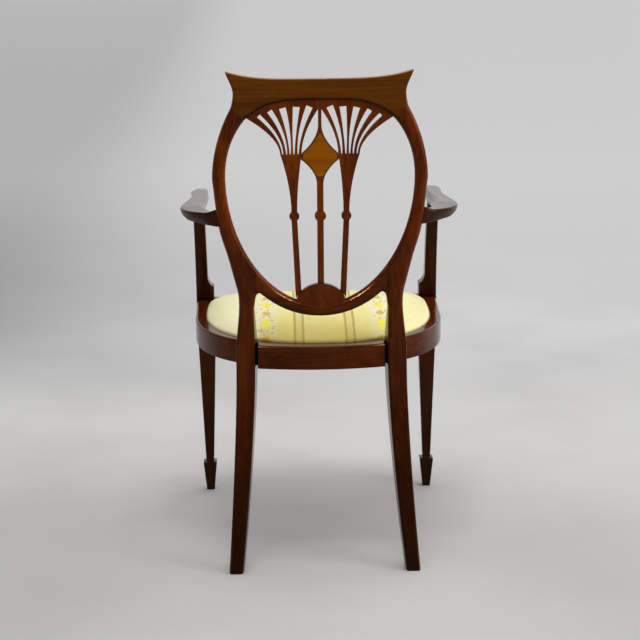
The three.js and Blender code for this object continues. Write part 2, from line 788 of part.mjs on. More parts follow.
// Plan outlines of the seat, with the widest line as their middle
function seatPlan(inset, rearInset, frontInset, rearPower, frontPower) {
  const half = seatHalfWidth - inset;
  const rear = ovalArc(half, seatRearReach - rearInset, rearPower, half, 0, 14)
    .map(([across, along]) => [across, along - seatRearReach]);
  const front = ovalArc(half, seatFrontReach - frontInset, frontPower, 0, half, 12)
    .map(([across, along]) => [across, -along - seatRearReach]);
  const right = [...front.slice(0, -1), ...rear];
  const left = right.slice(1, -1).reverse().map(([across, along]) => [-across, along]);
  return [...right, ...left];
}

const rebatePlan = (inset) => seatPlan(
  sideShowWood + inset,
  rearShowWood + inset,
  frontShowWood + inset,
  rebateRearPower,
  rebateFrontPower,
);

function outerPlan() {
  const frontEndX = frontLegX - frontLegSize / 2;
  const frontY = (across) =>
    -frontFaceReach - frontRailBow * (1 - Math.pow(across / frontEndX, 2));
  const rearBow = steps(6).map((share) => {
    const across = legInnerX * (1 - share);
    return [across, -rearRailBow * Math.pow(across / legInnerX, 2)];
  });
  const sideReach = seatRearReach - sideSweepSet;
  const sideRear = ovalArc(seatHalfWidth, sideReach, sideSweepPower, seatHalfWidth, legInnerX, 14)
    .map(([across, along]) => [across, along - seatRearReach]);
  const right = [
    ...steps(8).map((share) => [frontEndX * share, frontY(frontEndX * share)]),
    [seatHalfWidth + seatFrontSpread, -frontFaceReach],
    ...sideRear,
    ...rearBow,
  ];
  const left = right.slice(1, -1).reverse().map(([across, along]) => [-across, along]);
  return [...right, ...left];
}

// Corner blocks: a place on the inner outline, with its outward direction
const blockTop = seatHeight - rebateDepth - jointGap;
const openingPlan = rebatePlan(rebateLedge);
const openingHalf = seatHalfWidth - sideShowWood - rebateLedge;
const openingRear = {
  reach: seatRearReach - rearShowWood - rebateLedge,
  power: rebateRearPower,
  side: 1,
};
const openingFront = {
  reach: seatFrontReach - frontShowWood - rebateLedge,
  power: rebateFrontPower,
  side: -1,
};

function cornerFrame({ reach, power, side }) {
  const share = Math.pow(0.5, 1 / power);
  const across = openingHalf * share;
  const along = side * reach * share - seatRearReach;
  const outward = (side * Math.PI) / 4;
  const turn = new THREE.Matrix4().makeRotationZ(outward);
  turn.setPosition(across, along, 0);
  return turn;
}

function screwProfile(clearance) {
  const length = screwLength + clearance;
  const head = screwHead + clearance;
  const shank = screwShank + clearance;
  const mouth = clearance > 0 ? overrun : 0;
  return [
    [0, -mouth],
    [head, -mouth],
    [head, clearance],
    [shank, screwHeadDepth + clearance],
    [shank, length - screwHeadDepth],
    [0, length],
  ];
}

function screw(clearance, tangent) {
  const profile = screwProfile(clearance).map(([radius, along]) => new THREE.Vector2(radius, along));
  return new THREE.LatheGeometry(profile, 12)
    .rotateZ(-Math.PI / 2)
    .translate(-blockDepth + screwHeadDepth, tangent, blockTop - blockHeight / 2);
}

const corners = { rear: cornerFrame(openingRear), front: cornerFrame(openingFront) };
const screwPlaces = [-screwSpacing, screwSpacing];

// Rails, cut from one frame at the legs
const turnedX = (y) => legInnerX + legTurnShare * (y - legFrontY);

function seatFrame() {
  let frame = toSolid(standing(outerPlan(), railBottom, seatHeight));
  frame = frame.subtract(toSolid(standing(openingPlan, railBottom - overrun, seatHeight + overrun)));
  frame = frame.subtract(toSolid(standing(rebatePlan(0), seatHeight - rebateDepth, seatHeight + overrun)));
  for (const side of [1, -1]) {
    const rearPost = [
      [legInnerX - jointGap, legFrontY - jointGap],
      [turnedX(overrun) - jointGap, overrun],
      [legOuterX + jointGap, overrun],
      [legOuterX + jointGap, legFrontY - jointGap],
    ];
    const post = frontLegSize / 2 + jointGap;
    const frontPost = [
      [frontLegX - post, frontLegY - post],
      [frontLegX + post, frontLegY - post],
      [frontLegX + post, frontLegY + post],
      [frontLegX - post, frontLegY + post],
    ];
    for (const plan of [rearPost, frontPost]) {
      const placed = plan.map(([x, y]) => [side * x, y]);
      frame = frame.subtract(toSolid(standing(placed, railBottom - overrun, seatHeight + overrun)));
    }
    for (const turn of Object.values(corners)) {
      for (const tangent of screwPlaces) {
        const hole = screw(jointGap, tangent).applyMatrix4(turn);
        frame = frame.subtract(toSolid(side > 0 ? hole : mirrored(hole)));
      }
    }
  }
  return frame;
}

const frameSolid = seatFrame();
const wide = seatHalfWidth + overrun;
const deep = frontReach + overrun;

function railWithin(plan) {
  const region = standing(plan, railBottom - overrun, seatHeight + overrun);
  return toGeometry(frameSolid.intersect(toSolid(region)));
}

const rearRailEnd = legInnerX - jointGap;
const rearRailTipX = turnedX(overrun) - jointGap;
const frontRailEnd = frontLegX - frontLegSize / 2 - jointGap;
const frontRailY = frontLegY + frontLegSize / 2 + jointGap;
const rearRail = railWithin([
  [-rearRailEnd, -seatRearReach], [rearRailEnd, -seatRearReach], [rearRailEnd, legFrontY],
  [rearRailTipX, overrun], [-rearRailTipX, overrun], [-rearRailEnd, legFrontY],
]);
const frontRail = railWithin([
  [-frontRailEnd, -deep], [frontRailEnd, -deep],
  [frontRailEnd, frontRailY - jointGap], [-frontRailEnd, frontRailY - jointGap],
]);
addPart('rear_seat_rail', rearRail, mahogany());
addPart('front_seat_rail', frontRail, mahogany());

// The side rail runs from the rear leg to the front leg, beside the front rail's end
const sideRail = railWithin([
  [legInnerX, frontRailY], [wide, frontRailY], [wide, overrun],
  [legOuterX, overrun], [legOuterX, legFrontY], [legInnerX, legFrontY],
]);
addPair('side_seat_rail', sideRail, mahogany);

function cornerBlock(turn) {
  const slab = boxBetween(
    [-blockDepth, -blockWidth / 2, blockTop - blockHeight],
    [overrun, blockWidth / 2, blockTop],
  ).applyMatrix4(turn);
  const inside = toSolid(standing(rebatePlan(rebateLedge + jointGap), railBottom, seatHeight));
  let block = toSolid(slab).intersect(inside);
  for (const tangent of screwPlaces) {
    block = block.subtract(toSolid(screw(jointGap, tangent).applyMatrix4(turn)));
  }
  return toGeometry(block);
}

for (const [place, turn] of Object.entries(corners)) {
  addPair(`corner_block_${place}`, cornerBlock(turn), beech);
  screwPlaces.forEach((tangent, number) => {
    const bare = screw(0, tangent).applyMatrix4(turn).deleteAttribute('normal');
    addPair(`block_screw_${place}_${number + 1}`, mergeVertices(bare, weldDistance), steel);
  });
}

// Loose seat: a beech frame, webbing, hessian and the stuffed cushion
const looseBottom = seatHeight - rebateDepth + jointGap;
const looseTop = looseBottom + looseRailHeight;
const frameInset = seatClearance + coverThickness + jointGap;

function looseFrame() {
  const outer = toSolid(standing(rebatePlan(frameInset), looseBottom, looseTop));
  const innerPlan = rebatePlan(frameInset + looseRailWidth);
  const inner = toSolid(standing(innerPlan, looseBottom - overrun, looseTop + overrun));
  return outer.subtract(inner);
}

const looseSolid = looseFrame();

function loosePiece(low, high) {
  const region = boxBetween([...low, looseBottom - overrun], [...high, looseTop + overrun]);
  return toGeometry(looseSolid.intersect(toSolid(region)));
}

const looseRearRail = loosePiece([-looseRailCut, -seatRearReach], [looseRailCut, overrun]);
const looseFrontRail = loosePiece([-looseRailCut, -deep], [looseRailCut, -seatRearReach]);
const looseSideRail = loosePiece([looseRailCut + jointGap, -deep], [wide, overrun]);
addPart('loose_seat_rear_rail', looseRearRail, beech());
addPart('loose_seat_front_rail', looseFrontRail, beech());
addPair('loose_seat_side_rail', looseSideRail, beech);

// Webbing ends on the loose rails, tucked in from their outer edge
const strapInset = frameInset + strapTuck;
const strapHalfWidth = seatHalfWidth - sideShowWood - strapInset;
const strapRearReach = seatRearReach - rearShowWood - strapInset;
const strapFrontReach = seatFrontReach - frontShowWood - strapInset;
const firstLayer = looseTop + jointGap;
const secondLayer = firstLayer + strapThickness + jointGap;
const strapMiddleY = (strapRearReach - strapFrontReach) / 2 - seatRearReach;

['left', 'middle', 'right'].forEach((place, number) => {
  const x = strapSpacing * (1 - number);
  const corner = Math.abs(x) + strapWidth / 2;
  const front = ovalRise(corner, strapHalfWidth, strapFrontReach, rebateFrontPower);
  const rear = ovalRise(corner, strapHalfWidth, strapRearReach, rebateRearPower);
  const strap = boxBetween(
    [x - strapWidth / 2, -seatRearReach - front, firstLayer],
    [x + strapWidth / 2, -seatRearReach + rear, firstLayer + strapThickness],
  );
  addPart(`webbing_long_${place}`, strap, jute());
});

['front', 'middle', 'rear'].forEach((place, number) => {
  const y = strapMiddleY + strapSpacing * (number - 1);
  const rearward = Math.max(0, y + strapWidth / 2 + seatRearReach);
  const half = ovalRise(rearward, strapRearReach, strapHalfWidth, rebateRearPower);
  const strap = boxBetween(
    [-half, y - strapWidth / 2, secondLayer],
    [half, y + strapWidth / 2, secondLayer + strapThickness],
  );
  addPart(`webbing_cross_${place}`, strap, jute());
});

const hessianBottom = secondLayer + strapThickness + jointGap;
const hessianTop = hessianBottom + hessianThickness;
addPart('hessian_sheet', standing(rebatePlan(frameInset + hessianTuck), hessianBottom, hessianTop), jute());

// Cushion: a crowned body whose cover hangs down round the loose frame
function cushion() {
  const plan = rebatePlan(seatClearance);
  const middleY = (-rearShowWood - frontReach + frontShowWood) / 2;
  const ringAt = (share, level) =>
    plan.map(([x, y]) => new THREE.Vector3(x * share, middleY + (y - middleY) * share, level));
  const edgeZ = seatHeight + cushionEdge;
  const crownShares = [1, 0.985, 0.955, 0.9, 0.82, 0.7, 0.54, 0.34, 0.12];
  const rings = [
    ringAt(1, seatHeight - coverHang),
    ringAt(1, seatHeight),
    ...crownShares.map((share) => {
      const dome = Math.pow(1 - Math.pow(share, cushionPower), cushionFullness);
      return ringAt(share, edgeZ + cushionCrown * dome);
    }),
  ];
  const rimPlan = rebatePlan(frameInset - jointGap);
  const crownPlan = rebatePlan(frameInset + hessianTuck - jointGap);
  const underRim = toSolid(standing(rimPlan, looseBottom - overrun, looseTop + jointGap));
  const underCrown = toSolid(standing(crownPlan, looseBottom, hessianTop + jointGap));
  return toGeometry(toSolid(lofted(rings)).subtract(underRim).subtract(underCrown));
}

addPart('seat_cushion', cushion(), silk());

export default chair;
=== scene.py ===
# %% [markdown]
# # An elbow chair with a pierced oval back
# The chair is a mahogany frame with a loose seat. Its pieces are already cut to size in the model
# that this script loads, in metres, with +Z up and the sitter facing -Y. What is made here is what
# the eye meets: rounded edges, polish, grain, and a stuffed cushion under striped silk.

# %% Load the cut pieces
import json
from math import cos, pi, radians, sin

import bmesh
import bpy
from mathutils import Matrix, Vector
from mathutils.bvhtree import BVHTree
from mathutils.kdtree import KDTree

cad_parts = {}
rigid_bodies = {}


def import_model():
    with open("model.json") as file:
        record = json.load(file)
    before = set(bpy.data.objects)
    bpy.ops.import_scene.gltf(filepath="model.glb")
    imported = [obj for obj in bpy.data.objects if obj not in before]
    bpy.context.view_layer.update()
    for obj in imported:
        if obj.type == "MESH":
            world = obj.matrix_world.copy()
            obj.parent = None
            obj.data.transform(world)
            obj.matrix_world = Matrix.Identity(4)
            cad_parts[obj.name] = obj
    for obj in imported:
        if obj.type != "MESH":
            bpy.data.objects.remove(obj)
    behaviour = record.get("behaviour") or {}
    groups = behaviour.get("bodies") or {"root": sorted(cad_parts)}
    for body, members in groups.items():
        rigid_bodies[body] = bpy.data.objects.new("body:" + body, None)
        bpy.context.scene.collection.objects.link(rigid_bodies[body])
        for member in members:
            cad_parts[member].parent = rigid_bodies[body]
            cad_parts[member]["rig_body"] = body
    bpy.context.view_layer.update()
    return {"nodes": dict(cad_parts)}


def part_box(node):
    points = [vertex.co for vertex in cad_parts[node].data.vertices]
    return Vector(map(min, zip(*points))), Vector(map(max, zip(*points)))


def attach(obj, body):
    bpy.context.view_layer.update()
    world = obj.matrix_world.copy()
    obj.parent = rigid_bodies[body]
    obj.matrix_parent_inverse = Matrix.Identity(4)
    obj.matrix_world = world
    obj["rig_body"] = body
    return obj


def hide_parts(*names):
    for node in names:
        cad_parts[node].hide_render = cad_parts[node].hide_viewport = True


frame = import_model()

MM = 0.001
nodes = frame["nodes"]

# %% [markdown]
# ## The viewpoint
# The photograph looks down at the chair from behind, from a little over three metres away. Its
# focal length, in pixels of a picture 640 wide, was found by matching the floor, the seat and the
# back. A long lens like this one keeps the back's oval from bulging towards the viewer.

# %% Camera
PICTURE_WIDTH = 640
FOCAL_PIXELS = 1836
SENSOR = 36
EYE = Vector((0.076, 3.508, 1.250))
PITCH = radians(13.28)
YAW = radians(-1.27)
ROLL = radians(-0.66)

ahead = Vector((sin(YAW) * cos(PITCH), -cos(YAW) * cos(PITCH), -sin(PITCH)))
level_right = ahead.cross(Vector((0, 0, 1))).normalized()
level_up = level_right.cross(ahead)
right = level_right * cos(ROLL) + level_up * sin(ROLL)
up = level_up * cos(ROLL) - level_right * sin(ROLL)

lens = bpy.data.cameras.new("camera")
lens.sensor_width = SENSOR
lens.lens = SENSOR * FOCAL_PIXELS / PICTURE_WIDTH
camera = bpy.data.objects.new("camera", lens)
camera.matrix_world = Matrix.Translation(EYE) @ Matrix((right, up, -ahead)).transposed().to_4x4()
bpy.context.collection.objects.link(camera)
bpy.context.scene.camera = camera
print("lens:", round(lens.lens, 1), "mm")

# %% [markdown]
# ## Making a finish from nodes
# A node graph is easier to read when each node is made in one call. So `add` makes a node, fills in
# its sockets and links what is already a socket, and short helpers on top of it do sums, mix two
# colours, turn one span of values into another and fetch a noise.

# %% Node helpers
def add(tree, kind, sockets=None, **settings):
    made = tree.nodes.new("ShaderNode" + kind)
    for name, value in settings.items():
        setattr(made, name, value)
    for name, value in (sockets or {}).items():
        if isinstance(value, bpy.types.NodeSocket):
            tree.links.new(value, made.inputs[name])
        else:
            made.inputs[name].default_value = value
    return made


def maths(tree, operation, *values):
    return add(tree, "Math", dict(enumerate(values)), operation=operation).outputs[0]


def times(tree, first, second):
    return maths(tree, "MULTIPLY", first, second)


def weighed_sum(tree, first, first_part, second, second_part):
    return maths(tree, "ADD", times(tree, first, first_part), times(tree, second, second_part))


def mixed(tree, factor, first, second):
    return add(tree, "Mix", {0: factor, 6: first, 7: second}, data_type="RGBA").outputs[2]


def span(tree, value, low, high, to_low=0.0, to_high=1.0):
    """Takes low to high over to to_low to to_high along a soft curve, and holds it beyond them."""
    sockets = {0: value, 1: low, 2: high, 3: to_low, 4: to_high}
    return add(tree, "MapRange", sockets, interpolation_type="SMOOTHSTEP").outputs[0]


def noise(tree, place, scale, detail):
    return add(tree, "TexNoise", {"Vector": place, "Scale": scale, "Detail": detail}).outputs["Fac"]


def object_place(tree):
    return add(tree, "TexCoord").outputs["Object"]


helpers = (add, maths, times, weighed_sum, mixed, span, noise, object_place)
print("node helpers:", ", ".join(helper.__name__ for helper in helpers))

# %% [markdown]
# ## Colours and a blank finish
# A paint chart gives a colour as three numbers up to 255, bent to suit the eye. The shader counts
# light instead, so each number is straightened first. A finish starts as a new material with the
# Principled shader, which holds wood, cloth and metal alike.

# %% Colours
def colour(red, green, blue):
    """A colour as a paint chart gives it, turned into the linear values that the shader takes."""
    def linear(value):
        share = value / 255
        return share / 12.92 if share <= 0.04045 else ((share + 0.055) / 1.055) ** 2.4
    return (linear(red), linear(green), linear(blue), 1.0)


def finish_named(name):
    """A new material, its node tree and its main shader."""
    material = bpy.data.materials.new(name)
    material.use_nodes = True
    tree = material.node_tree
    return material, tree, tree.nodes["Principled BSDF"]


print("a chart's middle grey reflects", round(colour(128, 128, 128)[0], 3), "of the light")

# %% [markdown]
# ## Grain
# A board's figure is drawn out along the way it grew. A noise does the same once a Mapping node
# stretches it along one axis. It reads Object coordinates, so the grain runs straight through a
# curved piece, as it does where a piece is sawn from a plank.

# %% Grain
GRAIN_AXES = {"across": 0, "deep": 1, "upright": 2}


def grain(tree, way, scale, along_share, detail, shift=0.0):
    """Noise that is drawn out along one axis of the piece."""
    stretch = [scale, scale, scale]
    stretch[GRAIN_AXES[way]] = scale * along_share
    moved = {"Vector": object_place(tree), "Scale": stretch, "Location": (shift, shift, shift)}
    return noise(tree, add(tree, "Mapping", moved).outputs[0], 1.0, detail)


print("ways for the grain to run:", ", ".join(GRAIN_AXES))

# %% [markdown]
# ## Polished mahogany
# French polish is a thin, clear, glossy film over wood whose colour runs in streaks along the
# board. Three stretched noises do it: a broad one for the board's own bands, a finer one for its
# streaks, and a very fine one for the open pores, which are short dark dashes. The pores are also
# sunk a little by a Bump node, since polish never quite fills them.

# %% Mahogany's figure
# A noise has its scale, the share of it that is left along the grain, and its detail
BANDS = (26, 0.09, 2.0)
STREAKS = (210, 0.035, 4.0)
PORES = (1500, 0.04, 2.0)
BAND_PART = 0.55
STREAK_PART = 0.45
DARK_AT = 0.36
MIDDLE_AT = 0.5
LIGHT_AT = 0.66
PORE_OPEN = (0.60, 0.70)
PORE_TONE = 0.45
PORE_BROWN = colour(24, 8, 3)
STREAK_RELIEF = 0.5
BUMP_STRENGTH = 0.12
BUMP_DEPTH = 0.1 * MM


def figured_wood(tree, way, shift, dark, middle, light):
    """The wood's colour before wear, its relief, and the streaks that the polish follows."""
    band = grain(tree, way, *BANDS, shift)
    streak = grain(tree, way, *STREAKS, shift)
    open_pore = span(tree, grain(tree, way, *PORES, shift), *PORE_OPEN)
    ramp = add(tree, "ValToRGB", {0: weighed_sum(tree, band, BAND_PART, streak, STREAK_PART)})
    ramp.color_ramp.elements[0].position = DARK_AT
    ramp.color_ramp.elements[0].color = colour(*dark)
    ramp.color_ramp.elements[1].position = LIGHT_AT
    ramp.color_ramp.elements[1].color = colour(*light)
    ramp.color_ramp.elements.new(MIDDLE_AT).color = colour(*middle)
    wood = mixed(tree, times(tree, open_pore, PORE_TONE), ramp.outputs[0], PORE_BROWN)
    height = maths(tree, "SUBTRACT", times(tree, streak, STREAK_RELIEF), open_pore)
    bump = {"Height": height, "Strength": BUMP_STRENGTH, "Distance": BUMP_DEPTH}
    return wood, add(tree, "Bump", bump).outputs[0], streak


print("pores:", PORES[0], "to the metre across the grain")

# %% [markdown]
# ## Painted shade
# Shade is painted into the wood's colour. Its eased edges, its corners and the faces that look down
# are painted nearly black, the sawn walls of the fretwork are painted dark, and the legs are painted
# darker towards the floor. Each of these is a mix towards a dark brown, by something that belongs to
# the piece and not to the viewer: a mark on its eased edges, the way its surface faces, how shut in a
# corner is, and the height.

# %% Painted shade
EDGE_SHADE_MARK = "eased"
# Painted shade: its browns, how faces and heights take it, and how far it reaches into corners
EDGE_SHADE_BROWN = colour(13, 5, 2)
FOOT_SHADE_BROWN = colour(20, 6, 2)
UNDER_SHADE_BROWN = colour(15, 7, 3)
WALL_SHADE_BROWN = colour(16, 6, 3)
FOOT_SHADE_FADE = (0.0, 0.84, 0.96, 0.0)
WALL_SHADE_FACING = (0.5, 0.95)
CORNER_SHADE_REACH = 9 * MM
CORNER_SHADE_RAYS = 8
CORNER_SHADE_FADE = (0.5, 0.97, 0.95, 0.0)
UNDER_SHADE_FACING = (0.12, 0.7)
UNDER_SHADE_TONE = 0.85


def wood_with_painted_shade(tree, wood, edge_shade_tone, wall_shade_tone):
    """The wood with painted shade, and how far each place faces down."""
    shaded_edge = add(tree, "Attribute", attribute_name=EDGE_SHADE_MARK).outputs["Fac"]
    # painted shade on the eased edges
    wood = mixed(tree, times(tree, shaded_edge, edge_shade_tone), wood, EDGE_SHADE_BROWN)
    height = add(tree, "SeparateXYZ", {0: object_place(tree)}).outputs[2]
    # painted shade, darker towards the floor
    wood = mixed(tree, span(tree, height, *FOOT_SHADE_FADE), wood, FOOT_SHADE_BROWN)
    facing = add(tree, "SeparateXYZ", {0: add(tree, "NewGeometry").outputs["Normal"]}).outputs
    # painted shade on the sawn walls, the faces that look across
    wall = span(tree, maths(tree, "ABSOLUTE", facing[1]), *WALL_SHADE_FACING, wall_shade_tone, 0.0)
    wood = mixed(tree, wall, wood, WALL_SHADE_BROWN)
    # painted shade in corners
    corner = add(tree, "AmbientOcclusion", {"Distance": CORNER_SHADE_REACH}, samples=CORNER_SHADE_RAYS)
    wood = mixed(tree, span(tree, corner.outputs["AO"], *CORNER_SHADE_FADE), wood, WALL_SHADE_BROWN)
    # painted shade on faces that look down
    under = span(tree, times(tree, facing[2], -1), *UNDER_SHADE_FACING)
    return mixed(tree, times(tree, under, UNDER_SHADE_TONE), wood, UNDER_SHADE_BROWN), under


# The painted corner shade reaches this far from a corner.
print("wax lies within", round(CORNER_SHADE_REACH / MM), "mm of a corner")

# %% [markdown]
# ## The polish itself
# Shellac is amber, so what it mirrors head on is amber too, and only a glancing mirror is pale.
# The shader's specular tint does that, and a thin clear coat adds the sharp white highlights. Where
# a surface faces the floor it was never rubbed bright, so it is left rough.

# %% Wood finishes
POLISH_TINT = (1.0, 0.36, 0.04, 1.0)
POLISH = {
    "Specular IOR Level": 0.22,
    "Specular Tint": POLISH_TINT,
    "Coat Weight": 0.12,
    "Coat Roughness": 0.04,
}
GLOSS = 0.12
STREAK_ROUGH = 0.06
UNDER_ROUGH = 0.45
FRAME_TONES = ((76, 20, 0), (116, 43, 0), (152, 65, 2))
# A darker copy of the frame's tones, painted shade for the arms and their supports
SHADED_TONES = ((34, 12, 3), (56, 24, 5), (78, 36, 8))
SPLAT_TONES = ((100, 36, 0), (134, 54, 0), (160, 72, 2))
CREST_TONES = ((92, 42, 0), (118, 62, 1), (140, 78, 4))
SATINWOOD_TONES = ((178, 94, 0), (200, 112, 0), (222, 132, 4))
# How much painted shade the eased edges and the fretwork's sawn walls get
FRAME_EDGE_SHADE = 0.55
SPLAT_EDGE_SHADE = 0.9
SATINWOOD_EDGE_SHADE = 0.8
SPLAT_WALL_SHADE = 0.85


def fill_in(shader, values):
    for name, value in values.items():
        shader.inputs[name].default_value = value


def polished(name, way, tones, shift, edge_shade_tone, wall_shade_tone=0.0):
    """A polished board. The shift moves the figure, so that boards that meet don't share one."""
    material, tree, shader = finish_named(name)
    wood, relief, streak = figured_wood(tree, way, shift, *tones)
    wood, under = wood_with_painted_shade(tree, wood, edge_shade_tone, wall_shade_tone)
    rough = maths(tree, "ADD", GLOSS, times(tree, streak, STREAK_ROUGH))
    rough = maths(tree, "ADD", rough, times(tree, under, UNDER_ROUGH))
    tree.links.new(wood, shader.inputs["Base Color"])
    tree.links.new(rough, shader.inputs["Roughness"])
    tree.links.new(relief, shader.inputs["Normal"])
    fill_in(shader, POLISH)
    return material


frame_wood = {
    way: polished("mahogany_" + way, way, FRAME_TONES, shift=shift, edge_shade_tone=FRAME_EDGE_SHADE)
    for way, shift in (("upright", 0.0), ("across", 3.1), ("deep", 6.7))
}
# The darker mahogany for the arms and their supports: painted shade
shaded_wood = {
    way: polished("mahogany_shaded_" + way, way, SHADED_TONES, shift=shift, edge_shade_tone=FRAME_EDGE_SHADE)
    for way, shift in (("upright", 1.1), ("deep", 7.3))
}
splat_wood = polished("mahogany_splat", "upright", SPLAT_TONES, shift=1.7,
                      edge_shade_tone=SPLAT_EDGE_SHADE, wall_shade_tone=SPLAT_WALL_SHADE)
crest_wood = polished("mahogany_crest", "across", CREST_TONES, shift=2.3, edge_shade_tone=SPLAT_EDGE_SHADE)
inlay_wood = polished("satinwood", "across", SATINWOOD_TONES, shift=5.2, edge_shade_tone=SATINWOOD_EDGE_SHADE)
print("wood finishes:", len(frame_wood) + len(shaded_wood) + 3)

# %% [markdown]
# ## Bare beech
# The blocks and the loose seat's rails are never seen in use, so they were left unpolished. Beech
# is pale and even, with short dark flecks. A stretched noise gives the streaks and a finer one,
# cut off high up, gives the flecks.

# %% Beech
BEECH_STREAKS = (160, 0.05, 3.0)
BEECH_FLECKS = (900, 0.18, 1.0)
BEECH_FADE = (0.35, 0.65)
FLECK_OPEN = (0.58, 0.66)
FLECK_TONE = 0.5
BEECH_DEEP = colour(150, 112, 74)
BEECH_PALE = colour(190, 152, 108)
BEECH_FLECK = colour(120, 82, 50)


def bare_beech():
    material, tree, shader = finish_named("beech")
    streak = span(tree, grain(tree, "across", *BEECH_STREAKS), *BEECH_FADE)
    fleck = span(tree, grain(tree, "across", *BEECH_FLECKS), *FLECK_OPEN)
    wood = mixed(tree, streak, BEECH_DEEP, BEECH_PALE)
    wood = mixed(tree, times(tree, fleck, FLECK_TONE), wood, BEECH_FLECK)
    tree.links.new(wood, shader.inputs["Base Color"])
    fill_in(shader, {"Roughness": 0.7})
    return material


beech = bare_beech()
print("finish made:", beech.name)

# %% [markdown]
# ## Woven jute
# Webbing and hessian are plain weaves: each thread passes over and under the next. Two sine waves
# at right angles, multiplied, give that chequer of high and low, both for the colour and for the
# relief. A noise on top makes the threads uneven, as jute is.

# %% Jute
WEBBING_PITCH = 2.6 * MM
HESSIAN_PITCH = 1.6 * MM
JUTE_UNEVEN = (320.0, 3.0)
OVER_PART = 0.6
UNEVEN_PART = 0.5
JUTE_RELIEF = 0.3 * MM
JUTE_BUMP = 0.6


def crossed_waves(tree, place, pitch):
    axes = add(tree, "SeparateXYZ", {0: place}).outputs
    waves = [maths(tree, "SINE", times(tree, axes[axis], 2 * pi / pitch)) for axis in (0, 1)]
    return times(tree, waves[0], waves[1])


def woven(name, pale, deep, pitch):
    """Threads that pass over and under each other."""
    material, tree, shader = finish_named(name)
    place = object_place(tree)
    over = crossed_waves(tree, place, pitch)
    uneven = noise(tree, place, *JUTE_UNEVEN)
    tone = weighed_sum(tree, span(tree, over, -1.0, 1.0), OVER_PART, uneven, UNEVEN_PART)
    bump = add(tree, "Bump", {"Height": over, "Strength": JUTE_BUMP, "Distance": JUTE_RELIEF})
    tree.links.new(mixed(tree, tone, deep, pale), shader.inputs["Base Color"])
    tree.links.new(bump.outputs[0], shader.inputs["Normal"])
    fill_in(shader, {"Roughness": 0.95})
    return material


webbing_jute = woven("jute_webbing", colour(178, 150, 112), colour(112, 88, 60), WEBBING_PITCH)
hessian_jute = woven("jute_hessian", colour(170, 140, 100), colour(120, 94, 62), HESSIAN_PITCH)
print("threads to the metre:", round(1 / WEBBING_PITCH), "and", round(1 / HESSIAN_PITCH))

# %% [markdown]
# ## Plain steel
# The screws are bright steel with fine turning marks, so their roughness varies along a stretched
# noise while the colour stays even.

# %% Steel
TURNING_MARKS = (2400, 0.2, 2.0)
MARK_ROUGHNESS = (0.3, 0.7, 0.32, 0.5)
STEEL_GREY = (0.5, 0.5, 0.49, 1.0)


def plain_steel():
    material, tree, shader = finish_named("steel")
    marks = grain(tree, "upright", *TURNING_MARKS)
    tree.links.new(span(tree, marks, *MARK_ROUGHNESS), shader.inputs["Roughness"])
    fill_in(shader, {"Base Color": STEEL_GREY, "Metallic": 1.0})
    return material


steel = plain_steel()
print("finish made:", steel.name)

# %% [markdown]
# ## A clean copy of a cut piece
# The cut pieces arrive as loose triangles. Operators act on whatever is selected, so every step
# starts by selecting one piece alone. A copy then has its doubled corners merged and its flat faces
# made whole, which gives the bevel clean edges to follow.

# %% Copies
MERGE = 0.01 * MM
FLAT = radians(0.08)


def select_only(piece):
    bpy.ops.object.select_all(action="DESELECT")
    piece.select_set(True)
    bpy.context.view_layer.objects.active = piece


def apply_all(piece):
    select_only(piece)
    for modifier in list(piece.modifiers):
        bpy.ops.object.modifier_apply(modifier=modifier.name)


def clean_up(piece, merge, flat):
    select_only(piece)
    bpy.ops.object.mode_set(mode="EDIT")
    bpy.ops.mesh.select_all(action="SELECT")
    bpy.ops.mesh.remove_doubles(threshold=merge)
    bpy.ops.mesh.dissolve_limited(angle_limit=flat, use_dissolve_boundaries=flat > 0)
    bpy.ops.object.mode_set(mode="OBJECT")


def copied(node, name, flat=FLAT):
    """The node's shape as a new piece, with its triangles merged and its flat faces whole."""
    piece = bpy.data.objects.new(name, nodes[node].data.copy())
    bpy.context.collection.objects.link(piece)
    select_only(piece)
    piece.data.materials.clear()
    bpy.ops.mesh.customdata_custom_splitnormals_clear()
    clean_up(piece, MERGE, flat)
    return piece


print("corners closer than", round(MERGE / MM, 2), "mm become one")

# %% [markdown]
# ## Which edges lie in a joint
# An edge that lies against a neighbour is left sharp, so that the two meet flush. A tree of each
# piece's faces answers how near it is. The pieces were cut with a hair's gap for glue, and here
# each corner in a joint moves halfway across it.

# %% Joints
TOUCH = 0.6 * MM
SHARP = radians(32)


def tree_of(mesh):
    points = [vertex.co.copy() for vertex in mesh.vertices]
    return BVHTree.FromPolygons(points, [list(face.vertices) for face in mesh.polygons])


face_trees = {name: tree_of(piece.data) for name, piece in nodes.items()}


def neighbour_point(point, own, among=None):
    """The nearest point of a piece that this one is glued or set against, if there is one."""
    body = nodes[own]["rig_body"]
    for name, tree in face_trees.items():
        if name == own or nodes[name]["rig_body"] != body or (among and name not in among):
            continue
        found = tree.find_nearest(point, TOUCH)[0]
        if found is not None:
            return found
    return None


def close_joints(piece, own, among=None):
    """Moves each corner in a joint halfway to its neighbour, as glue fills the fine gap."""
    closed = 0
    for vertex in piece.data.vertices:
        found = neighbour_point(vertex.co, own, among)
        if found is not None:
            vertex.co = (vertex.co + found) / 2
            closed += 1
    return closed


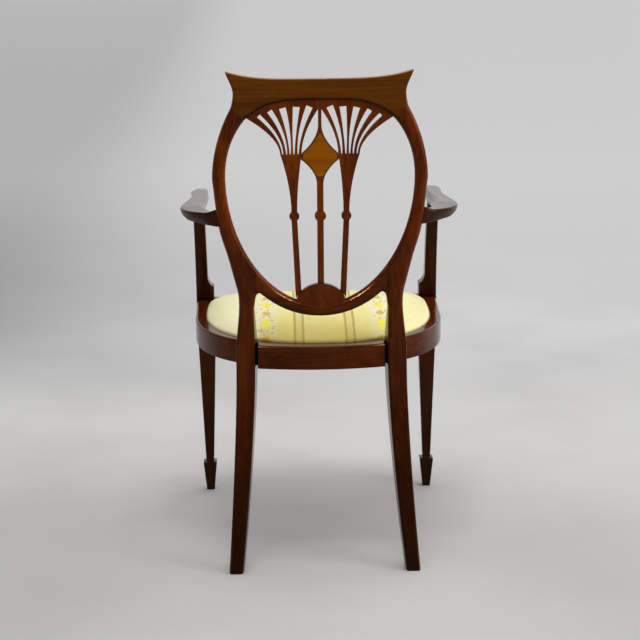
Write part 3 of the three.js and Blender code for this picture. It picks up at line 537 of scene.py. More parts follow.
def weigh_edges(piece, own, share_at, among=None, sharp=SHARP):
    """Gives each sharp, free edge its share of the bevel's width, from the edge's middle."""
    shape = bmesh.new()
    shape.from_mesh(piece.data)
    weight = shape.edges.layers.float.new("bevel_weight_edge")
    weighed = 0
    for edge in shape.edges:
        if len(edge.link_faces) != 2 or edge.calc_face_angle() < sharp:
            continue
        middle = (edge.verts[0].co + edge.verts[1].co) / 2
        if neighbour_point(middle, own, among) is not None:
            continue
        edge[weight] = share_at(middle)
        weighed += 1
    shape.to_mesh(piece.data)
    shape.free()
    return weighed


print("pieces that can be a neighbour:", len(face_trees))

# %% [markdown]
# ## Easing the edges
# A joiner takes the sharp edge off every piece, and that is what catches the light. The bevel
# gets its width from a weight on each edge, so one piece can go from a heavy round on the oval to
# a light one on the leg. The faces that the bevel makes take a second material for a moment, which
# tells their corners from the others. A weighted normal keeps the flats flat in the polish.

# %% Edge rounding
STRAY = 0.05 * MM
DEEPEST_SHARE = 0.45


def round_edges(piece, finish, width, segments, clamp=False):
    """Bevels the weighed edges. A corner that a tight spot throws clear is set back on the wood."""
    piece.data.materials.append(finish)
    piece.data.materials.append(finish)
    before = tree_of(piece.data)
    bevel = piece.modifiers.new("ease", "BEVEL")
    bevel.limit_method = "WEIGHT"
    bevel.width = width
    bevel.segments = segments
    bevel.material = 1
    bevel.use_clamp_overlap = clamp
    apply_all(piece)
    strays = 0
    for vertex in piece.data.vertices:
        found, normal, _, away = before.find_nearest(vertex.co)
        if (vertex.co - found).dot(normal) > STRAY or away > width * DEEPEST_SHARE:
            vertex.co = found
            strays += 1
    if strays:
        print(piece.name, "corners set back:", strays)


def mark_edge_shade(piece):
    """A value on each corner: 1 inside a rounded edge, 0 on a face, for the finish to paint shade by."""
    mesh = piece.data
    flats = {corner for face in mesh.polygons if face.material_index == 0 for corner in face.vertices}
    marks = mesh.attributes.new(EDGE_SHADE_MARK, "FLOAT", "POINT")
    for vertex in mesh.vertices:
        marks.data[vertex.index].value = 0.0 if vertex.index in flats else 1.0
    for face in mesh.polygons:
        face.material_index = 0
    mesh.materials.pop()


def level_normals(piece, sharp):
    select_only(piece)
    bpy.ops.object.shade_smooth_by_angle(angle=sharp)
    smooth = piece.modifiers.new("polish", "WEIGHTED_NORMAL")
    smooth.keep_sharp = True
    apply_all(piece)


def hand_over(piece, node, body="chair_frame"):
    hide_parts(node)
    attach(piece, body)


def eased(node, finish, width, segments, share_at=lambda place: 1.0,
          body="chair_frame", sharp=SHARP, reshape=None, clamp=False):
    """A copy of a cut piece with its free edges rounded, polished and put in the piece's place."""
    piece = copied(node, node + "_shaped")
    edges = weigh_edges(piece, node, share_at, sharp=sharp)
    closed = close_joints(piece, node)
    if reshape:
        reshape(piece)
    round_edges(piece, finish, width, segments, clamp)
    mark_edge_shade(piece)
    level_normals(piece, sharp)
    hand_over(piece, node, body)
    print(piece.name, "edges:", edges, "joint corners:", closed, "faces:", len(piece.data.polygons))


# %% [markdown]
# ## The back ring
# Legs, stiles, arc and crest are four boards, but the maker rounded the ring after gluing them, so
# the round runs through the joints without a break. To do the same here the four are joined by a
# union, rounded as one, and then sawn apart again at the joints. A union needs pieces that overlap,
# so the ends of the arc and the crest are first pushed a little way into the legs.

# %% Join the ring
SIDES = ("left", "right")
RING_NODES = ("rear_leg_left", "rear_leg_right", "lower_back_rail", "crest_rail")
RING_MERGE = 1.3 * MM
ARC_PUSH = Vector((1.0, 0.0, 1.3)) * MM
CREST_PUSH = Vector((0.9, 0.0, -1.35)) * MM


def pushed_into_legs(piece, push):
    """Runs the piece's ends a little way into the legs, so that a union has something to join."""
    for vertex in piece.data.vertices:
        side = "left" if vertex.co.x > 0 else "right"
        if face_trees["rear_leg_" + side].find_nearest(vertex.co, TOUCH)[0] is None:
            continue
        vertex.co += Vector((push.x if vertex.co.x > 0 else -push.x, push.y, push.z))


def joined(parts, name):
    whole = parts[0]
    whole.name = name
    for part in parts[1:]:
        union = whole.modifiers.new("join", "BOOLEAN")
        union.operation = "UNION"
        union.solver = "EXACT"
        union.object = part
        apply_all(whole)
        bpy.data.objects.remove(part)
    return whole


ring_parts = [copied(node, node + "_blank") for node in RING_NODES]
pushed_into_legs(ring_parts[2], ARC_PUSH)
pushed_into_legs(ring_parts[3], CREST_PUSH)
ring = joined(ring_parts, "ring")
clean_up(ring, RING_MERGE, FLAT)
shape = bmesh.new()
shape.from_mesh(ring.data)
print("ring edges:", len(shape.edges), "open:", sum(not edge.is_manifold for edge in shape.edges))
shape.free()

# %% [markdown]
# ## How round the ring is, from place to place
# The oval is nearly a rod, the legs below the seat are square with a softened edge, and the crest
# is a flat board. So the bevel's share grows from the seat up to where the arc leaves the leg, and
# falls again above the sloping joint between stile and crest. The joint's slope is measured on the
# cut pieces: it is where the leg's corners touch the crest.

# %% The ring's rounds
CROTCH_RISE = 40 * MM
LEG_SHARE = 0.3
ARCH_SHARE = 0.42
CREST_SHARE = 0.16
ARCH_MARGIN = Vector((8, 0, 6)) * MM
ARCH_FADE = 24 * MM
CREST_FADE = 26 * MM
seat_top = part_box("rear_seat_rail")[1].z
arc_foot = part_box("lower_back_rail")[0].z
joint_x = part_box("lower_back_rail")[1].x
arch_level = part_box("fan_splat_left")[1].z
crest_ends = [vertex.co.copy() for vertex in nodes["rear_leg_left"].data.vertices
              if face_trees["crest_rail"].find_nearest(vertex.co, TOUCH)[0] is not None]
crest_low = min(crest_ends, key=lambda place: (place.x, place.length))
crest_high = max(crest_ends, key=lambda place: (place.x, -place.length))
joint_slope = (crest_high.z - crest_low.z) / (crest_high.x - crest_low.x)
print("crest joint from", [round(v, 3) for v in crest_low], "to", [round(v, 3) for v in crest_high])


def clamped(value):
    return min(1.0, max(0.0, value))


def risen(least, share):
    return least + (1 - least) * clamped(share)


def ring_share(place):
    """How round the frame is there: little on the leg and the crest, most on the ring."""
    over = place.z - crest_low.z - (abs(place.x) - crest_low.x) * joint_slope
    if over > 0:
        near_arch = place.z < arch_level + ARCH_MARGIN.z and abs(place.x) < crest_low.x + ARCH_MARGIN.x
        if near_arch:
            return risen(ARCH_SHARE, 1 - over / ARCH_FADE)
        return risen(CREST_SHARE, 1 - over / CREST_FADE)
    if abs(place.x) < joint_x:
        return 1.0
    return risen(LEG_SHARE, (place.z - seat_top) / (arc_foot + CROTCH_RISE - seat_top))


# %% [markdown]
# ## Rounding and recasting
# Where four rounds as wide as these run together, a bevel folds over itself. A voxel Remesh casts
# the whole ring anew as one even skin, which closes such folds, and a Smooth modifier takes out its
# small steps. Remesh forgets the marks on the corners, so each new corner takes the mark of the old
# one nearest to it, which a tree of points finds quickly.

# %% Round the ring
RAILS = ("rear_seat_rail", "side_seat_rail_left", "side_seat_rail_right")
RING_ROUND = 10.3 * MM
RING_SEGMENTS = 6
RING_VOXEL = 1.3 * MM
SMOOTH_FACTOR = 0.5
SMOOTH_PASSES = 9


def recast(piece):
    """Casts the shape anew as one even skin, which closes the small folds that wide rounds leave."""
    marks = [mark.value for mark in piece.data.attributes[EDGE_SHADE_MARK].data]
    corners = KDTree(len(marks))
    for vertex in piece.data.vertices:
        corners.insert(vertex.co, vertex.index)
    corners.balance()
    cast = piece.modifiers.new("recast", "REMESH")
    cast.mode = "VOXEL"
    cast.voxel_size = RING_VOXEL
    cast.use_smooth_shade = True
    soften = piece.modifiers.new("soften", "SMOOTH")
    soften.factor = SMOOTH_FACTOR
    soften.iterations = SMOOTH_PASSES
    apply_all(piece)
    if EDGE_SHADE_MARK in piece.data.attributes:
        piece.data.attributes.remove(piece.data.attributes[EDGE_SHADE_MARK])
    cast_marks = piece.data.attributes.new(EDGE_SHADE_MARK, "FLOAT", "POINT")
    for vertex in piece.data.vertices:
        cast_marks.data[vertex.index].value = marks[corners.find(vertex.co)[1]]


edges = weigh_edges(ring, "lower_back_rail", ring_share, among=RAILS)
closed = close_joints(ring, "lower_back_rail", among=RAILS)
round_edges(ring, frame_wood["upright"], RING_ROUND, RING_SEGMENTS)
mark_edge_shade(ring)
recast(ring)
print("ring edges rounded:", edges, "joint corners:", closed, "faces:", len(ring.data.polygons))

# %% [markdown]
# ## Where shade is painted on the ring
# Above the seat the painted shade on the edges fades out, so the ring's rounds keep the wood's own
# colour. Along the fretwork a dark line of painted shadow is put on the crest. The marks are
# rewritten here by height and by the distance to the nearest splat.

# %% Ring marks
SHADE_FADE_RISE = 60 * MM
CREST_RISE = 300 * MM
SHADOW_LINE_WIDTH = 4.5 * MM
FRETWORK = ("fan_splat_left", "fan_splat_right", "centre_splat")

shadowed = 0
for vertex in ring.data.vertices:
    mark = ring.data.attributes[EDGE_SHADE_MARK].data[vertex.index]
    # the painted edge shade fades out above the seat
    mark.value *= clamped(1 - (vertex.co.z - seat_top) / SHADE_FADE_RISE)
    # a painted shadow: a dark line on the crest along the fretwork
    if vertex.co.z > seat_top + CREST_RISE:
        away = min(face_trees[name].find_nearest(vertex.co)[3] for name in FRETWORK)
        mark.value = clamped(2 - away / SHADOW_LINE_WIDTH)
        shadowed += mark.value > 0
print("corners in the dark line:", shadowed)

# %% [markdown]
# ## Sawing the ring apart
# Each board gets its own grain, so the ring is cut at its joints: a copy is bisected once for each
# joint, and the cut is filled with a flat face, as a saw leaves it. A Data Transfer then hands each
# part the whole ring's normals, so that no seam shows in the polish.

# %% Saw the ring apart at its joints
ARC_CROWN = 60 * MM
left_joint = (crest_low, Vector((-joint_slope, 0, 1)).normalized())
right_joint = (Vector((-crest_low.x, crest_low.y, crest_low.z)), Vector((joint_slope, 0, 1)).normalized())
left_end = (Vector((joint_x, 0, 0)), Vector((1, 0, 0)))
right_end = (Vector((-joint_x, 0, 0)), Vector((-1, 0, 0)))
above_arc = (Vector((0, 0, arch_level - ARC_CROWN)), Vector((0, 0, -1)))


def turned(cut):
    """The same cut with the other side kept."""
    return (cut[0], -cut[1])


def sawn(node, finish, slot, *cuts):
    """The part of the ring that lies beyond each cut, closed with a flat face where it is sawn."""
    piece = bpy.data.objects.new(node + "_shaped", ring.data.copy())
    bpy.context.collection.objects.link(piece)
    select_only(piece)
    bpy.ops.object.mode_set(mode="EDIT")
    for place, normal in cuts:
        bpy.ops.mesh.select_all(action="SELECT")
        bpy.ops.mesh.bisect(plane_co=place, plane_no=normal, use_fill=True, clear_inner=True)
    bpy.ops.object.mode_set(mode="OBJECT")
    piece.data.materials.clear()
    piece.data.materials.append(finish)
    take = piece.modifiers.new("polish", "DATA_TRANSFER")
    take.object = ring
    take.use_loop_data = True
    take.data_types_loops = {"CUSTOM_NORMAL"}
    take.loop_mapping = "POLYINTERP_NEAREST"
    apply_all(piece)
    hand_over(piece, node)
    print(piece.name, "faces:", len(piece.data.polygons))


sawn("rear_leg_left", frame_wood["upright"], "mahogany", left_end, turned(left_joint))
sawn("rear_leg_right", frame_wood["upright"], "mahogany", right_end, turned(right_joint))
sawn("lower_back_rail", frame_wood["across"], "mahogany", turned(left_end), turned(right_end), above_arc)
sawn("crest_rail", crest_wood, "crest_mahogany", left_joint, right_joint)
bpy.data.objects.remove(ring)

# %% [markdown]
# ## Shoe
# The shoe is the small mound that the three balusters stand on. Its foot runs down into the
# rounded arc, so that no gap opens under it.

# %% Shoe
SHOE_ROUND = 1.6 * MM
SHOE_SINK = 6 * MM


def sunk(piece):
    arc = face_trees["lower_back_rail"]
    for vertex in piece.data.vertices:
        if arc.find_nearest(vertex.co, TOUCH)[0] is not None:
            vertex.co.z -= SHOE_SINK


eased("splat_shoe", splat_wood, SHOE_ROUND, segments=3, reshape=sunk)

# %% [markdown]
# ## Pierced splats
# The fretwork is sawn from thin board, so its edges are only just broken. Between the ribs there is
# little room, and a bevel that is wider than its face crosses itself, so here it is told to stop
# short. The diamond carries a thin golden veneer on each face.

# %% Splats and veneers
FRET_ROUND = 0.6 * MM
VENEER_ROUND = 0.2 * MM
for name in FRETWORK:
    eased(name, splat_wood, FRET_ROUND, segments=2, clamp=True)
for name in ("diamond_veneer_rear", "diamond_veneer_front"):
    eased(name, inlay_wood, VENEER_ROUND, segments=1)

# %% [markdown]
# ## Arms
# Each arm is a board with a flat top, an inner bevel and a rounded belly, and it ends in a
# sloping facet. Its ridges are kept crisp. Where it meets the ring it is a little thinner than the
# ring, so it runs into the rounded side and the ring's own round passes behind it unbroken. The arms
# and their supports take a darker copy of the mahogany, painted shade, and each belly is painted
# darker still as shade.

# %% Arms and their supports
ARM_ROUND = 1.8 * MM
ARM_SHARP = radians(15)
ROOT_TOUCH = 1 * MM
ROOT_NEAR = 12 * MM
ROOT_REACH = 45 * MM
ROOT_THIN = 0.42
ROOT_END_SHARE = 0.7
ROOT_PUSH = 4 * MM
SUPPORT_ROUND = 2.2 * MM


def rooted(piece):
    """Thins the arm towards its root and runs it into the stile."""
    side = "left" if piece.data.vertices[0].co.x > 0 else "right"
    stile = face_trees["rear_leg_" + side]
    corners = [vertex.co.copy() for vertex in piece.data.vertices]
    root = [corner for corner in corners if stile.find_nearest(corner, ROOT_TOUCH)[0]]
    root_x = min(abs(place.x) for place in root)
    middle_y = sum(place.y for place in root) / len(root)
    for vertex in piece.data.vertices:
        share = clamped(1 - (abs(vertex.co.x) - root_x) / ROOT_REACH)
        if vertex.co.y < middle_y - ROOT_REACH:
            continue
        vertex.co.y = middle_y + (vertex.co.y - middle_y) * (1 - ROOT_THIN * share)
        if stile.find_nearest(vertex.co, ROOT_NEAR)[0] and share > ROOT_END_SHARE:
            vertex.co.x -= ROOT_PUSH if vertex.co.x > 0 else -ROOT_PUSH


for side in SIDES:
    eased("arm_" + side, shaded_wood["deep"], ARM_ROUND, segments=2, sharp=ARM_SHARP, reshape=rooted)
    eased("arm_support_" + side, shaded_wood["upright"], SUPPORT_ROUND, segments=3)

# %% [markdown]
# ## Front legs
# The front legs are square, taper to a thin ankle and end in a spade foot. The cut shape has all of
# that, so they only need their corners softened, as a scraper and long wear do.

# %% Front legs
FRONT_LEG_ROUND = 1.6 * MM
for side in SIDES:
    eased("front_leg_" + side, frame_wood["upright"], FRONT_LEG_ROUND, segments=3)

# %% [markdown]
# ## Seat rails
# The rails are bowed boards with a rebate for the loose seat. Their outer top edge is well rounded,
# since hands and knees meet it, while the edge beside the cushion and the one underneath are only
# just broken. The share of the bevel says which is which, by the place of each edge.

# %% Seat rails
RAIL_ROUND = 4 * MM
RAIL_SEGMENTS = 4
RAIL_FOOT_SHARE = 0.4
RAIL_INNER_SHARE = 0.25
RAIL_INNER_REACH = 4 * MM
rail_middle = sum(corner.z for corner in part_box("rear_seat_rail")) / 2


def rail_share(place):
    """A full round on the outer top edge, and a light one beside the cushion and underneath."""
    if face_trees["seat_cushion"].find_nearest(place, RAIL_INNER_REACH)[0] is not None:
        return RAIL_INNER_SHARE
    return 1.0 if place.z > rail_middle else RAIL_FOOT_SHARE


eased("rear_seat_rail", frame_wood["across"], RAIL_ROUND, RAIL_SEGMENTS, rail_share)
eased("front_seat_rail", frame_wood["across"], RAIL_ROUND, RAIL_SEGMENTS, rail_share)
for side in SIDES:
    eased("side_seat_rail_" + side, frame_wood["deep"], RAIL_ROUND, RAIL_SEGMENTS, rail_share)

# %% [markdown]
# ## Corner blocks and screws
# A block in each corner of the frame braces it, with two screws through it. They show only from
# below or with the seat lifted out, so a light bevel is enough.

# %% Corner blocks and screws
BLOCK_ROUND = 1.2 * MM
SCREW_ROUND = 0.4 * MM
for name in sorted(nodes):
    if name.startswith("corner_block"):
        eased(name, beech, BLOCK_ROUND, segments=2)
    if name.startswith("block_screw"):
        eased(name, steel, SCREW_ROUND, segments=2)

# %% [markdown]
# ## Loose seat
# The seat lifts out as one: a beech frame, jute webbing strained across it both ways, and a sheet of
# hessian over the webbing to carry the stuffing. All of it rides on the loose seat's body.

# %% Loose seat
SEAT_RAIL_ROUND = 1.5 * MM
WEBBING_ROUND = 0.3 * MM
HESSIAN_ROUND = 0.2 * MM
for name in sorted(nodes):
    if name.startswith("loose_seat"):
        eased(name, beech, SEAT_RAIL_ROUND, segments=2, body="loose_seat")
    if name.startswith("webbing"):
        eased(name, webbing_jute, WEBBING_ROUND, segments=1, body="loose_seat")
eased("hessian_sheet", hessian_jute, HESSIAN_ROUND, segments=1, body="loose_seat")

# %% [markdown]
# ## The silk's ground
# The cover is a pale straw silk with a slubbed weave: long uneven threads run both ways. Everything
# on it is set evenly about the middle of the cloth, so it is measured as a distance from that line,
# on the piece's own X and Y. The ground is deeper between the flowered stripes, where the cloth is
# figured, and palest beside the stripes. Towards the rear its middle is painted darker as shade,
# and its left is painted paler as light.

# %% Silk ground
CLOTH_MIDDLE = -7.5 * MM
BLOSSOM_LINE = 110.8 * MM
SPRIG_REACH = 24 * MM
WARP = (700, 0.05, 3.0)
WEFT = (620, 0.06, 3.0, 4.0)
SLUB_FADE = (0.36, 0.64)
CLOUD = (16.0, 3.0)
CLOUD_FADE = (0.35, 0.7, 0.25, 0.6)
MIDDLE_CLOTH = (118 * MM, 134 * MM, 1.0, 0.0)
# Painted shade towards the rear and painted light on the left
REAR_SHADE_FADE = (-30 * MM, 190 * MM, 0.0, 0.75)
LEFT_LIGHT_FADE = (110 * MM, 170 * MM, 0.0, 0.7)
STRIPE_HALF = 0.7 * SPRIG_REACH
STRIPE_SOFT = 0.4 * SPRIG_REACH
STRIPE_TONE = 0.6
STRAW = colour(244, 231, 146)
STRAW_PALE = colour(255, 253, 204)
STRAW_FIGURED = colour(246, 229, 118)
STRAW_STRIPE = colour(250, 246, 212)
STRAW_REAR_SHADE = colour(210, 190, 84)
STRAW_LIT = colour(255, 252, 204)


def near(tree, value, centre, half, soft):
    """1 where the value lies within half of the centre, fading to 0 over a soft rim."""
    away = maths(tree, "ABSOLUTE", maths(tree, "SUBTRACT", value, centre))
    return span(tree, away, half, half + soft, 1.0, 0.0)


def cloth_axes(tree, place):
    """The place along X and Y, and how far it is from the cloth's middle line."""
    axes = add(tree, "SeparateXYZ", {0: place}).outputs
    across = maths(tree, "ABSOLUTE", maths(tree, "SUBTRACT", axes[0], CLOTH_MIDDLE))
    return axes[0], axes[1], across


def silk_ground(tree, place, slub):
    x, y, across = cloth_axes(tree, place)
    ground = mixed(tree, span(tree, slub, *SLUB_FADE), STRAW, STRAW_PALE)
    middle_cloth = span(tree, across, *MIDDLE_CLOTH)
    figured = times(tree, middle_cloth, span(tree, noise(tree, place, *CLOUD), *CLOUD_FADE))
    ground = mixed(tree, figured, ground, STRAW_FIGURED)
    stripe = near(tree, across, BLOSSOM_LINE, STRIPE_HALF, STRIPE_SOFT)
    ground = mixed(tree, times(tree, stripe, STRIPE_TONE), ground, STRAW_STRIPE)
    # painted shade towards the rear
    rear_shade = times(tree, middle_cloth, span(tree, y, *REAR_SHADE_FADE))
    ground = mixed(tree, rear_shade, ground, STRAW_REAR_SHADE)
    # painted light on the left
    return mixed(tree, span(tree, x, *LEFT_LIGHT_FADE), ground, STRAW_LIT)


print("the stripes lie", round(2 * BLOSSOM_LINE / MM), "mm apart")

# %% [markdown]
# ## Tan lines
# Two thin tan lines run from front to rear on each side of the middle, with a faint tan ground
# between them. The slub breaks them up, as uneven thread does.

# %% Tan lines
TAN_LINES = (40.5 * MM, 56.5 * MM)
TAN_HALF = 1.7 * MM
TAN_SOFT = 1.2 * MM
TAN_BREAKS = (0.3, 0.6, 0.35, 0.7)
BETWEEN_SOFT = 2 * MM
BETWEEN_TONE = 0.14
TAN = colour(176, 146, 66)


def with_tan_lines(tree, cloth, across, slub):
    first, second = (near(tree, across, line, TAN_HALF, TAN_SOFT) for line in TAN_LINES)
    half_gap = (TAN_LINES[1] - TAN_LINES[0]) / 2
    between = near(tree, across, sum(TAN_LINES) / 2, half_gap, BETWEEN_SOFT)
    breaks = span(tree, slub, *TAN_BREAKS)
    lines = weighed_sum(tree, maths(tree, "ADD", first, second), breaks, between, BETWEEN_TONE)
    return mixed(tree, lines, cloth, TAN)


print("tan lines at", [round(line / MM, 1) for line in TAN_LINES], "mm from the middle")

# %% [markdown]
# ## Blossoms
# Each stripe is a row of ragged yellow ovals, every other one smaller and golden. The place along
# the row is counted in blossoms, so its whole number tells which one it is and what is left over
# tells how far the place is from that blossom's heart. The ovals are woven, so their outline wanders:
# the place is bent by a noise, and a finer noise frays the rim.

# %% Blossoms
BLOSSOM_HALF = 8.5 * MM
BLOSSOM_REACH = 24 * MM
SMALL_SHARE = 0.55
BLOSSOM_PITCH = 60.5 * MM
BLOSSOM_START = -40 * MM
BLOSSOM_RIM = (0.8, 1.05, 1.0, 0.0)
BLOSSOM_TONE = 0.92
FRAY = (190.0, 2.0)
FRAY_REACH = (0.3, 0.7, -0.3, 0.3)
GOLDEN_FADE = (-0.4, 0.6)
BLOSSOM_GOLD = colour(226, 186, 60)
BLOSSOM_YELLOW = colour(252, 240, 40)


def blossom_row(tree, y):
    """The place along the row, counted in blossoms."""
    return maths(tree, "DIVIDE", maths(tree, "SUBTRACT", y, BLOSSOM_START), BLOSSOM_PITCH)


def with_blossoms(tree, cloth, place, along, across):
    which = maths(tree, "ROUND", along)
    every_other = maths(tree, "COSINE", times(tree, which, pi))
    from_heart = times(tree, maths(tree, "SUBTRACT", along, which), BLOSSOM_PITCH)
    reach = span(tree, every_other, -1.0, 1.0, BLOSSOM_REACH * SMALL_SHARE, BLOSSOM_REACH)
    out_x = maths(tree, "DIVIDE", maths(tree, "SUBTRACT", across, BLOSSOM_LINE), BLOSSOM_HALF)
    out_y = maths(tree, "DIVIDE", from_heart, reach)
    radius = maths(tree, "SQRT", weighed_sum(tree, out_x, out_x, out_y, out_y))
    radius = maths(tree, "ADD", radius, span(tree, noise(tree, place, *FRAY), *FRAY_REACH))
    blossom = times(tree, span(tree, radius, *BLOSSOM_RIM), BLOSSOM_TONE)
    petals = mixed(tree, span(tree, every_other, *GOLDEN_FADE), BLOSSOM_GOLD, BLOSSOM_YELLOW)
    return mixed(tree, blossom, cloth, petals)


print("a blossom every", round(BLOSSOM_PITCH / MM, 1), "mm")

# %% [markdown]
# ## Sprigs
# Small pink and grey-green leaves are scattered beside the blossoms. A Voronoi texture makes the
# scatter: each of its cells is one leaf, and the cell's random colour decides whether the leaf is
# pink, green or left out.

# %% Sprigs
LEAF_SCALE = 120.0
LEAF_RIM = (0.25, 0.42, 1.0, 0.0)
SPRIG_OFFSET = 2 * MM
RESTING = (-0.2, 0.6, 1.0, 0.35)
PINK_DRAW = (0.62, 0.70)
GREEN_DRAW = (0.60, 0.68)
PINK_TONE = 0.6
GREEN_TONE = 0.75
LEAF_PINK = colour(206, 150, 160)
LEAF_GREEN = colour(128, 138, 118)


def with_sprigs(tree, cloth, bent, along, across):
    cells = add(tree, "TexVoronoi", {"Vector": bent, "Scale": LEAF_SCALE, "Randomness": 1.0})
    leaf = span(tree, cells.outputs["Distance"], *LEAF_RIM)
    draw = add(tree, "SeparateXYZ", {0: cells.outputs["Color"]}).outputs
    beside = near(tree, across, BLOSSOM_LINE + SPRIG_OFFSET, SPRIG_REACH / 2, SPRIG_REACH / 2)
    at_heart = maths(tree, "COSINE", times(tree, along, 2 * pi))
    grown = times(tree, times(tree, leaf, beside), span(tree, at_heart, *RESTING))
    pink = times(tree, grown, span(tree, draw[0], *PINK_DRAW))
    green = times(tree, grown, span(tree, draw[1], *GREEN_DRAW))
    cloth = mixed(tree, times(tree, green, GREEN_TONE), cloth, LEAF_GREEN)
    return mixed(tree, times(tree, pink, PINK_TONE), cloth, LEAF_PINK)


print("a leaf is about", round(1 / LEAF_SCALE / MM, 1), "mm across")

# %% [markdown]
# ## The silk
# The cloth's colour is built up in the order in which a weaver lays it: ground, lines, blossoms and
# sprigs. Its relief is the fine weave over the slub. Silk shines softly along its threads, so the
# shader gets a middling roughness, a weak highlight and a little sheen.

# %% Silk
THREAD = 1.1 * MM
WANDER = {"Scale": 45.0, "Detail": 3.0}
WANDER_REACH = 7 * MM
WEAVE_RELIEF = 0.35
SILK_RELIEF = 0.5 * MM
SILK_BUMP = 0.35
SILK_SHINE = {"Roughness": 0.55, "Specular IOR Level": 0.12, "Sheen Weight": 0.08, "Sheen Roughness": 0.4}


def wandered(tree, place):
    """The place moved a few millimetres by a noise, for patterns that shouldn't run quite true."""
    wander = add(tree, "TexNoise", {"Vector": place, **WANDER}).outputs["Color"]
    drift = add(tree, "VectorMath", {0: wander, 1: (0.5, 0.5, 0.5)}, operation="SUBTRACT")
    drift = add(tree, "VectorMath", {0: drift.outputs[0], "Scale": WANDER_REACH}, operation="SCALE")
    return add(tree, "VectorMath", {0: place, 1: drift.outputs[0]}, operation="ADD").outputs[0]


def striped_silk():
    material, tree, shader = finish_named("silk")
    place = object_place(tree)
    bent = wandered(tree, place)
    slub = weighed_sum(tree, grain(tree, "deep", *WARP), 0.5, grain(tree, "across", *WEFT), 0.5)
    across = cloth_axes(tree, place)[2]
    _, bent_y, bent_across = cloth_axes(tree, bent)
    along = blossom_row(tree, bent_y)
    cloth = silk_ground(tree, place, slub)
    cloth = with_tan_lines(tree, cloth, across, slub)
    cloth = with_blossoms(tree, cloth, place, along, bent_across)
    cloth = with_sprigs(tree, cloth, bent, along, across)
    weave = crossed_waves(tree, place, THREAD)
    relief = maths(tree, "ADD", times(tree, weave, WEAVE_RELIEF), slub)
    bump = add(tree, "Bump", {"Height": relief, "Strength": SILK_BUMP, "Distance": SILK_RELIEF})
    tree.links.new(cloth, shader.inputs["Base Color"])
    tree.links.new(bump.outputs[0], shader.inputs["Normal"])
    fill_in(shader, SILK_SHINE)
    return material


silk = striped_silk()
print("silk nodes:", len(silk.node_tree.nodes))

# %% [markdown]
# ## The cushion's crown
# Hair stuffing pushes the cover into an even crown, drawn in where the cloth goes down inside the
# rails. The cut form is divided finely above the rails and lowered a little, so that the cloth has
# somewhere to rise to. Every corner at or below the rim is held still.

# %% Cushion form
QUAD_ANGLE = radians(60)
CROWN_START = 1 * MM
RIM_RISE = 2.5 * MM
SLACK_SHARE = 0.8

cushion = copied("seat_cushion", "seat_cushion_stuffed", flat=0.0)
rim_level = seat_top + RIM_RISE
select_only(cushion)
bpy.ops.object.mode_set(mode="EDIT")
bpy.ops.mesh.select_all(action="SELECT")
bpy.ops.mesh.tris_convert_to_quads(face_threshold=QUAD_ANGLE, shape_threshold=QUAD_ANGLE)
bpy.ops.mesh.select_all(action="DESELECT")
shape = bmesh.from_edit_mesh(cushion.data)
for face in shape.faces:
    face.select = all(vertex.co.z > seat_top + CROWN_START for vertex in face.verts)
bmesh.update_edit_mesh(cushion.data)
bpy.ops.mesh.subdivide(number_cuts=1)
bpy.ops.object.mode_set(mode="OBJECT")

crown = [vertex.index for vertex in cushion.data.vertices if vertex.co.z > rim_level]
still = [vertex.index for vertex in cushion.data.vertices if vertex.co.z <= rim_level]
for index in crown:
    corner = cushion.data.vertices[index].co
    corner.z = rim_level + (corner.z - rim_level) * SLACK_SHARE
start = [vertex.co.copy() for vertex in cushion.data.vertices]
held = cushion.vertex_groups.new(name="held")
held.add(still, 1.0, "REPLACE")
print("corners in the crown:", len(crown), "held:", len(still))

# %% [markdown]
# ## Stuffing it
# A cloth simulation blows the cover up from inside with its rim pinned, which gives the soft, full
# shoulders that a formula misses. It has no gravity, since the pressure stands for the hair, and no
# corner may move further than a few millimetres.

# %% Stuffing
PUFF_FRAMES = 20
LIFT_LIMIT = 9 * MM
COVER = {
    "quality": 6,
    "mass": 0.3,
    "tension_stiffness": 30,
    "compression_stiffness": 30,
    "bending_stiffness": 4.0,
    "use_pressure": True,
    "uniform_pressure_force": 1.2,
    "vertex_group_mass": held.name,
}

cover = cushion.modifiers.new("stuffing", "CLOTH")
for name, value in COVER.items():
    setattr(cover.settings, name, value)
cover.settings.effector_weights.gravity = 0
for step in range(1, PUFF_FRAMES + 1):
    bpy.context.scene.frame_set(step)
select_only(cushion)
bpy.ops.object.modifier_apply(modifier=cover.name)
bpy.context.scene.frame_set(1)
furthest = 0.0
for index in crown:
    corner = cushion.data.vertices[index]
    moved = corner.co - start[index]
    furthest = max(furthest, moved.length)
    if moved.length > LIFT_LIMIT:
        corner.co = start[index] + moved.normalized() * LIFT_LIMIT
print("stuffing moved the cover by up to", round(furthest / MM, 1), "mm")

# %% [markdown]
# ## Pressing the rim home
# The loose seat fits its rebate with a hair's gap, and the cover's fold hides it. So the corners of
# the rim that lie close to a rail are pressed most of the way against it. One level of subdivision
# then rounds the cover, and the loose seat's last piece is handed over to its body.

# %% Cushion rim and cover
RIM_GAP = 3 * MM
RIM_DEPTH = 6 * MM
RIM_PUSH_SHARE = 0.85
COVER_SHARP = radians(50)

seat_rails = [name for name in nodes if name.endswith("_seat_rail") or name.startswith("side_seat")]
drawn = 0
for vertex in cushion.data.vertices:
    if not seat_top - RIM_DEPTH < vertex.co.z < rim_level:
        continue
    for rail in seat_rails:
        found = face_trees[rail].find_nearest(vertex.co, RIM_GAP)[0]
        if found is not None:
            push = Vector((found.x - vertex.co.x, found.y - vertex.co.y, 0))
            vertex.co += push * RIM_PUSH_SHARE
            drawn += 1
            break
print("rim corners pressed against the rails:", drawn)

